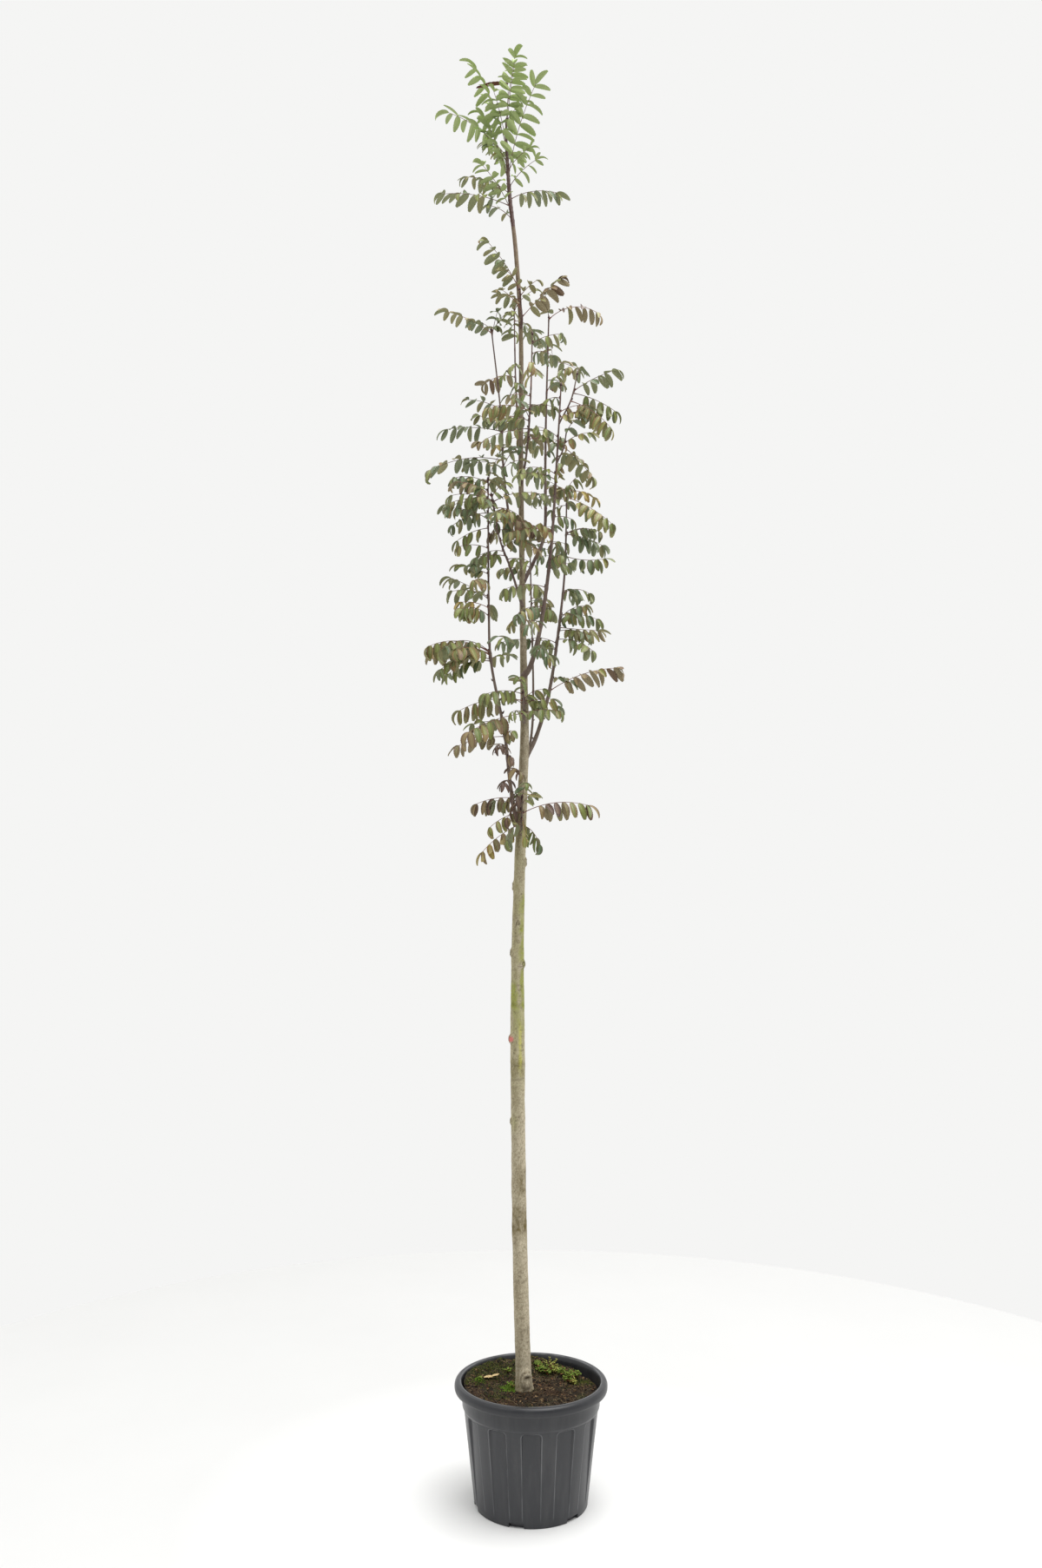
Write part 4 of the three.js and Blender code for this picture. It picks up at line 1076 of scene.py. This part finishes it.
# Weeds: middle, height, how many stems, tint.
WEEDS = [
    (30, 128, 20, 16, "leaf"), (50, 112, 24, 18, "leaf"), (70, 118, 20, 14, "leaf_pale"),
    (22, 150, 18, 12, "leaf"), (62, 138, 34, 7, "leaf_pale"), (92, 100, 18, 13, "leaf"),
    (112, 72, 26, 18, "leaf"), (124, 48, 18, 13, "leaf_pale"), (132, 88, 22, 14, "leaf"),
    (104, 54, 16, 10, "leaf"), (-58, -2, 22, 16, "leaf"), (-150, 16, 12, 6, "leaf"),
    (-66, 108, 14, 8, "leaf"), (-20, 138, 14, 8, "leaf")]
FALLEN_LEAF = [(200, 28), (165, 18), (235, 20), (20, 22), (50, 14), (335, 17)]  # its lobes: bearing, length


def soil_top(x, y):
    """Height of the uneven soil, heaped against the wall at the back and left."""
    x, y = np.asarray(x, float), np.asarray(y, float)
    flat = np.stack([x, y, np.zeros_like(x)], -1)
    out = np.hypot(x, y)
    away = np.clip((np.hypot(x - TRUNK[0][0], y) - SOIL_FLAT) / 130, 0, 1)
    lean = (-x * 0.7 + y * 0.3) / MOUTH
    level = SOIL_LEVEL + SOIL_SWELL * away * (lean + 0.35 * np.sin(x / 23 + 1) * np.cos(y / 31))
    heap = smooth(100, 188, out) * smooth(-0.5, 0.9, np.cos(np.arctan2(y, x) - math.radians(HEAP_BEARING)))
    clods = 4.6 * rough(flat, 24, 4) + 3 * np.abs(rough(flat, 9, 2, 9))
    return level + 13 * heap + 4 * smooth(120, 190, out) + clods


def ground(x, y):
    return np.array([x, y, float(soil_top(x, y))])


def scatter(share):
    """A place on the soil, within a share of its radius."""
    bearing, out = rng.uniform(0, 2 * np.pi), SOIL_RADIUS * share * math.sqrt(rng.random())
    return np.array([out * math.cos(bearing), out * math.sin(bearing)])


def off_trunk(x, y):
    return math.hypot(x - TRUNK[0][0], y)


def reach_of(points):
    """How far the furthest of the points is from the pot's middle."""
    return np.hypot(points[:, 0], points[:, 1]).max()


def dress_soil():
    turn = around(240)
    radii = np.linspace(3, SOIL_RADIUS, 90)[:, None]
    x, y = radii * np.cos(turn), radii * np.sin(turn)
    top = np.stack([x, y, soil_top(x, y)], -1)
    skirt = top[-1:] * [0.96, 0.96, 0] + [0, 0, SKIRT_Z]
    pile = Pile()
    pile.grid(np.concatenate([top, skirt])[::-1], pile.paint("soil"))
    mesh_piece("soil_surface", pile, [soil_mix()], ["soil"], 75)


def add_crumb(litter):
    x, y = scatter(0.97)
    if off_trunk(x, y) < 29:
        return
    long = rng.uniform(2, 6) if rng.random() < 0.85 else rng.uniform(6, 13)
    wide, thick = long * rng.uniform(0.35, 0.8), rng.uniform(0.8, 2)
    ahead = heading(rng.uniform(0, 360), rng.uniform(-25, 35))
    side = unit(np.cross([0, 0, 1], ahead) + rng.normal(0, 0.3, 3))
    up = unit(np.cross(ahead, side))
    seat = ground(x, y) + [0, 0, thick * 0.3]
    ring = np.array([(-0.5, -0.4), (-0.2, -0.5), (0.4, -0.42), (0.5, 0.1), (0.3, 0.5), (-0.35, 0.45)])
    ring += rng.normal(0, 0.07, ring.shape)
    girth = seat + ring[:, :1] * long * ahead + ring[:, 1:] * wide * side
    if reach_of(girth) > SOIL_RADIUS - 1:
        return
    tone = rng.choice(["umber", "brown", "tan", "black", "russet"], p=[0.34, 0.26, 0.11, 0.26, 0.03])
    litter.grid([girth - up * thick / 2, girth + (girth - seat) * 0.06, girth + up * thick / 2],
                litter.paint(tone))


def add_fibre(litter):
    path = [scatter(0.94)]
    if off_trunk(*path[0]) < 32:
        return
    bearing, curl, length = rng.uniform(0, 360), rng.normal(0, 13), rng.uniform(6, 24)
    for k in range(4):
        path.append(path[-1] + heading(bearing + k * curl, 0)[:2] * length / 4)
    path = np.array(path)
    if reach_of(path) > SOIL_RADIUS - 3:
        return
    z = soil_top(*path.T) + 0.6 + rng.uniform(0, 1.6, 5) + np.linspace(0, rng.uniform(0, 4), 5)
    width = np.linspace(rng.uniform(0.25, 0.5), 0.12, 5)
    tone = rng.choice(["straw", "tan", "umber"], p=[0.34, 0.4, 0.26])
    tube(litter, np.column_stack([path, z]), width, 4, litter.paint(tone))


def dress_litter():
    """Crumbs and fibres on the soil."""
    litter = Pile(LITTER)
    for _ in range(CRUMBS):
        add_crumb(litter)
    for _ in range(FIBRES):
        add_fibre(litter)
    materials = [plain("litter_" + name, rgb, 0.9, 0.15) for name, rgb in LITTER.items()]
    mesh_piece("soil_litter", litter, materials, ["soil"], 50)


def weed_leaf(pile, base, direction, length, width, paint):
    """A small rounded leaf, cupped, thin but closed."""
    side = unit(np.cross(direction, [0.13, 0.07, 1]))
    up = np.cross(side, direction)
    t = np.linspace(0, 1, 6)
    half = width / 2 * np.sin(np.pi * np.clip(t, 0.06, 0.97)**0.8)**0.7
    centre = base + np.outer(t * length, direction) - np.outer(length * 0.22 * t**2, up)
    edge, rise = half[:, None] * side, 0.12 * width * up
    rows = [centre - edge + rise, centre + 0.15 * up, centre + edge + rise, centre - 0.35 * up]
    pile.grid(np.stack(rows, 1), paint)


def add_moss(pile, x, y, rise, mound):
    if math.hypot(x, y) > SOIL_RADIUS - 4 or off_trunk(x, y) < 28:
        return
    seat = ground(x, y) + [0, 0, rise - 0.8]
    up = unit(np.array([0, 0, 1]) + rng.normal(0, 0.4, 3))
    height = rng.uniform(2.5, 6)
    if mound > 2 and rng.random() < 0.8:
        tone = "cushion"
    else:
        tone = "moss" if rng.random() < 0.55 else "moss_dark"
    tube(pile, [seat - [0, 0, 3], seat + up * height * 0.5, seat + up * height], [1.6, 1.5, 0.2], 4,
         pile.paint(tone))


def add_weed_stem(pile, root, turn, size, tone):
    lean = heading(turn, rng.uniform(25, 75))
    length = size * rng.uniform(0.6, 1.1)
    end = root + lean * length
    if math.hypot(end[0], end[1]) > SOIL_RADIUS - 6:
        return
    middle = root + lean * length * 0.5 + [0, 0, 2]
    tube(pile, [root - [0, 0, 2], middle, end], [0.6, 0.5, 0.4], 4, pile.paint("leaf_red"))
    for k in range(7):
        own = "leaf_red" if rng.random() < 0.08 else tone
        weed_leaf(pile, lerp(middle, end, k / 6), heading(turn + k * 137, rng.uniform(0, 45)),
                  rng.uniform(4, 8), rng.uniform(2.6, 4.4), pile.paint(own))


def dress_greenery():
    """Moss, small weeds and a fallen leaf on the soil."""
    pile = Pile(GREENS)
    for cx, cy, spread, count, mound in MOSS:
        for _ in range(count):
            x, y = cx + rng.normal(0, spread), cy + rng.normal(0, spread * 0.75)
            add_moss(pile, x, y, mound * swell(math.hypot(x - cx, y - cy), spread), mound)
    for cx, cy, size, stems, tone in WEEDS:
        for k in range(stems):
            add_weed_stem(pile, ground(cx, cy), k * FILL_TURN, size, tone)
    seat = ground(-112, 58) + [0, 0, 7]
    for k, (bearing, long) in enumerate(FALLEN_LEAF):
        weed_leaf(pile, seat, heading(bearing, 12 + 4 * k), long, long * 0.62, pile.paint("cream"))
    materials = [plain("green_" + name, rgb, 0.75, 0.25) for name, rgb in GREENS.items()]
    mesh_piece("soil_greenery", pile, materials, ["soil"], 60)


# ---------------------------------------------------------------- stage, light and camera

FLOOR_RADIUS = 2.6
LAMPS = (("key", (1.3, -0.7, 7.0), 5.0, 360), ("fill", (-3.0, -2.6, 3.4), 3.0, 25))  # place, size, watts
LIT_POINT = (0, 0, 2.1)
CAMERA_PLACE, CAMERA_TILT, CAMERA_LENS = (-0.0286, -3.670, 1.672), 96.03, 27.92


def set_floor():
    bpy.ops.mesh.primitive_circle_add(vertices=96, radius=FLOOR_RADIUS, fill_type="NGON")
    floor = bpy.context.object
    floor.name = "floor"
    floor.data.materials.append(floor_matte())


def set_surroundings():
    """White behind, above and at the sides, dimmer towards the front, as in a tent open to the camera."""
    world = bpy.data.worlds.new("studio")
    bpy.context.scene.world = world
    world.use_nodes = True
    nodes, link = world.node_tree.nodes, world.node_tree.links.new
    background = nodes["Background"]
    background.inputs["Color"].default_value = linear((245, 245, 244))
    split, fade = nodes.new("ShaderNodeSeparateXYZ"), nodes.new("ShaderNodeMapRange")
    for key, value in (("From Min", -0.9), ("From Max", 0.1), ("To Min", 0.6), ("To Max", 1.0)):
        fade.inputs[key].default_value = value
    link(nodes.new("ShaderNodeTexCoord").outputs["Generated"], split.inputs[0])
    link(split.outputs["Y"], fade.inputs["Value"])
    link(fade.outputs["Result"], background.inputs["Strength"])


def add_to_scene(name, data, place):
    made = bpy.data.objects.new(name, data)
    made.location = place
    bpy.context.scene.collection.objects.link(made)
    return made


def set_lights():
    for name, place, size, power in LAMPS:
        lamp = bpy.data.lights.new(name, "AREA")
        lamp.size, lamp.energy = size, power
        light = add_to_scene(name, lamp, place)
        aim = Vector(LIT_POINT) - light.location
        light.rotation_euler = aim.to_track_quat("-Z", "Y").to_euler()


def set_camera():
    data = bpy.data.cameras.new("camera")
    data.lens, data.sensor_width = CAMERA_LENS, 36
    camera = add_to_scene("camera", data, CAMERA_PLACE)
    camera.rotation_euler = (math.radians(CAMERA_TILT), 0, 0)
    bpy.context.scene.camera = camera
    bpy.context.scene.view_settings.view_transform = "Standard"


set_floor()
set_surroundings()
set_lights()
set_camera()
grow_tree()
dress_pot()
dress_soil()
dress_litter()
dress_greenery()
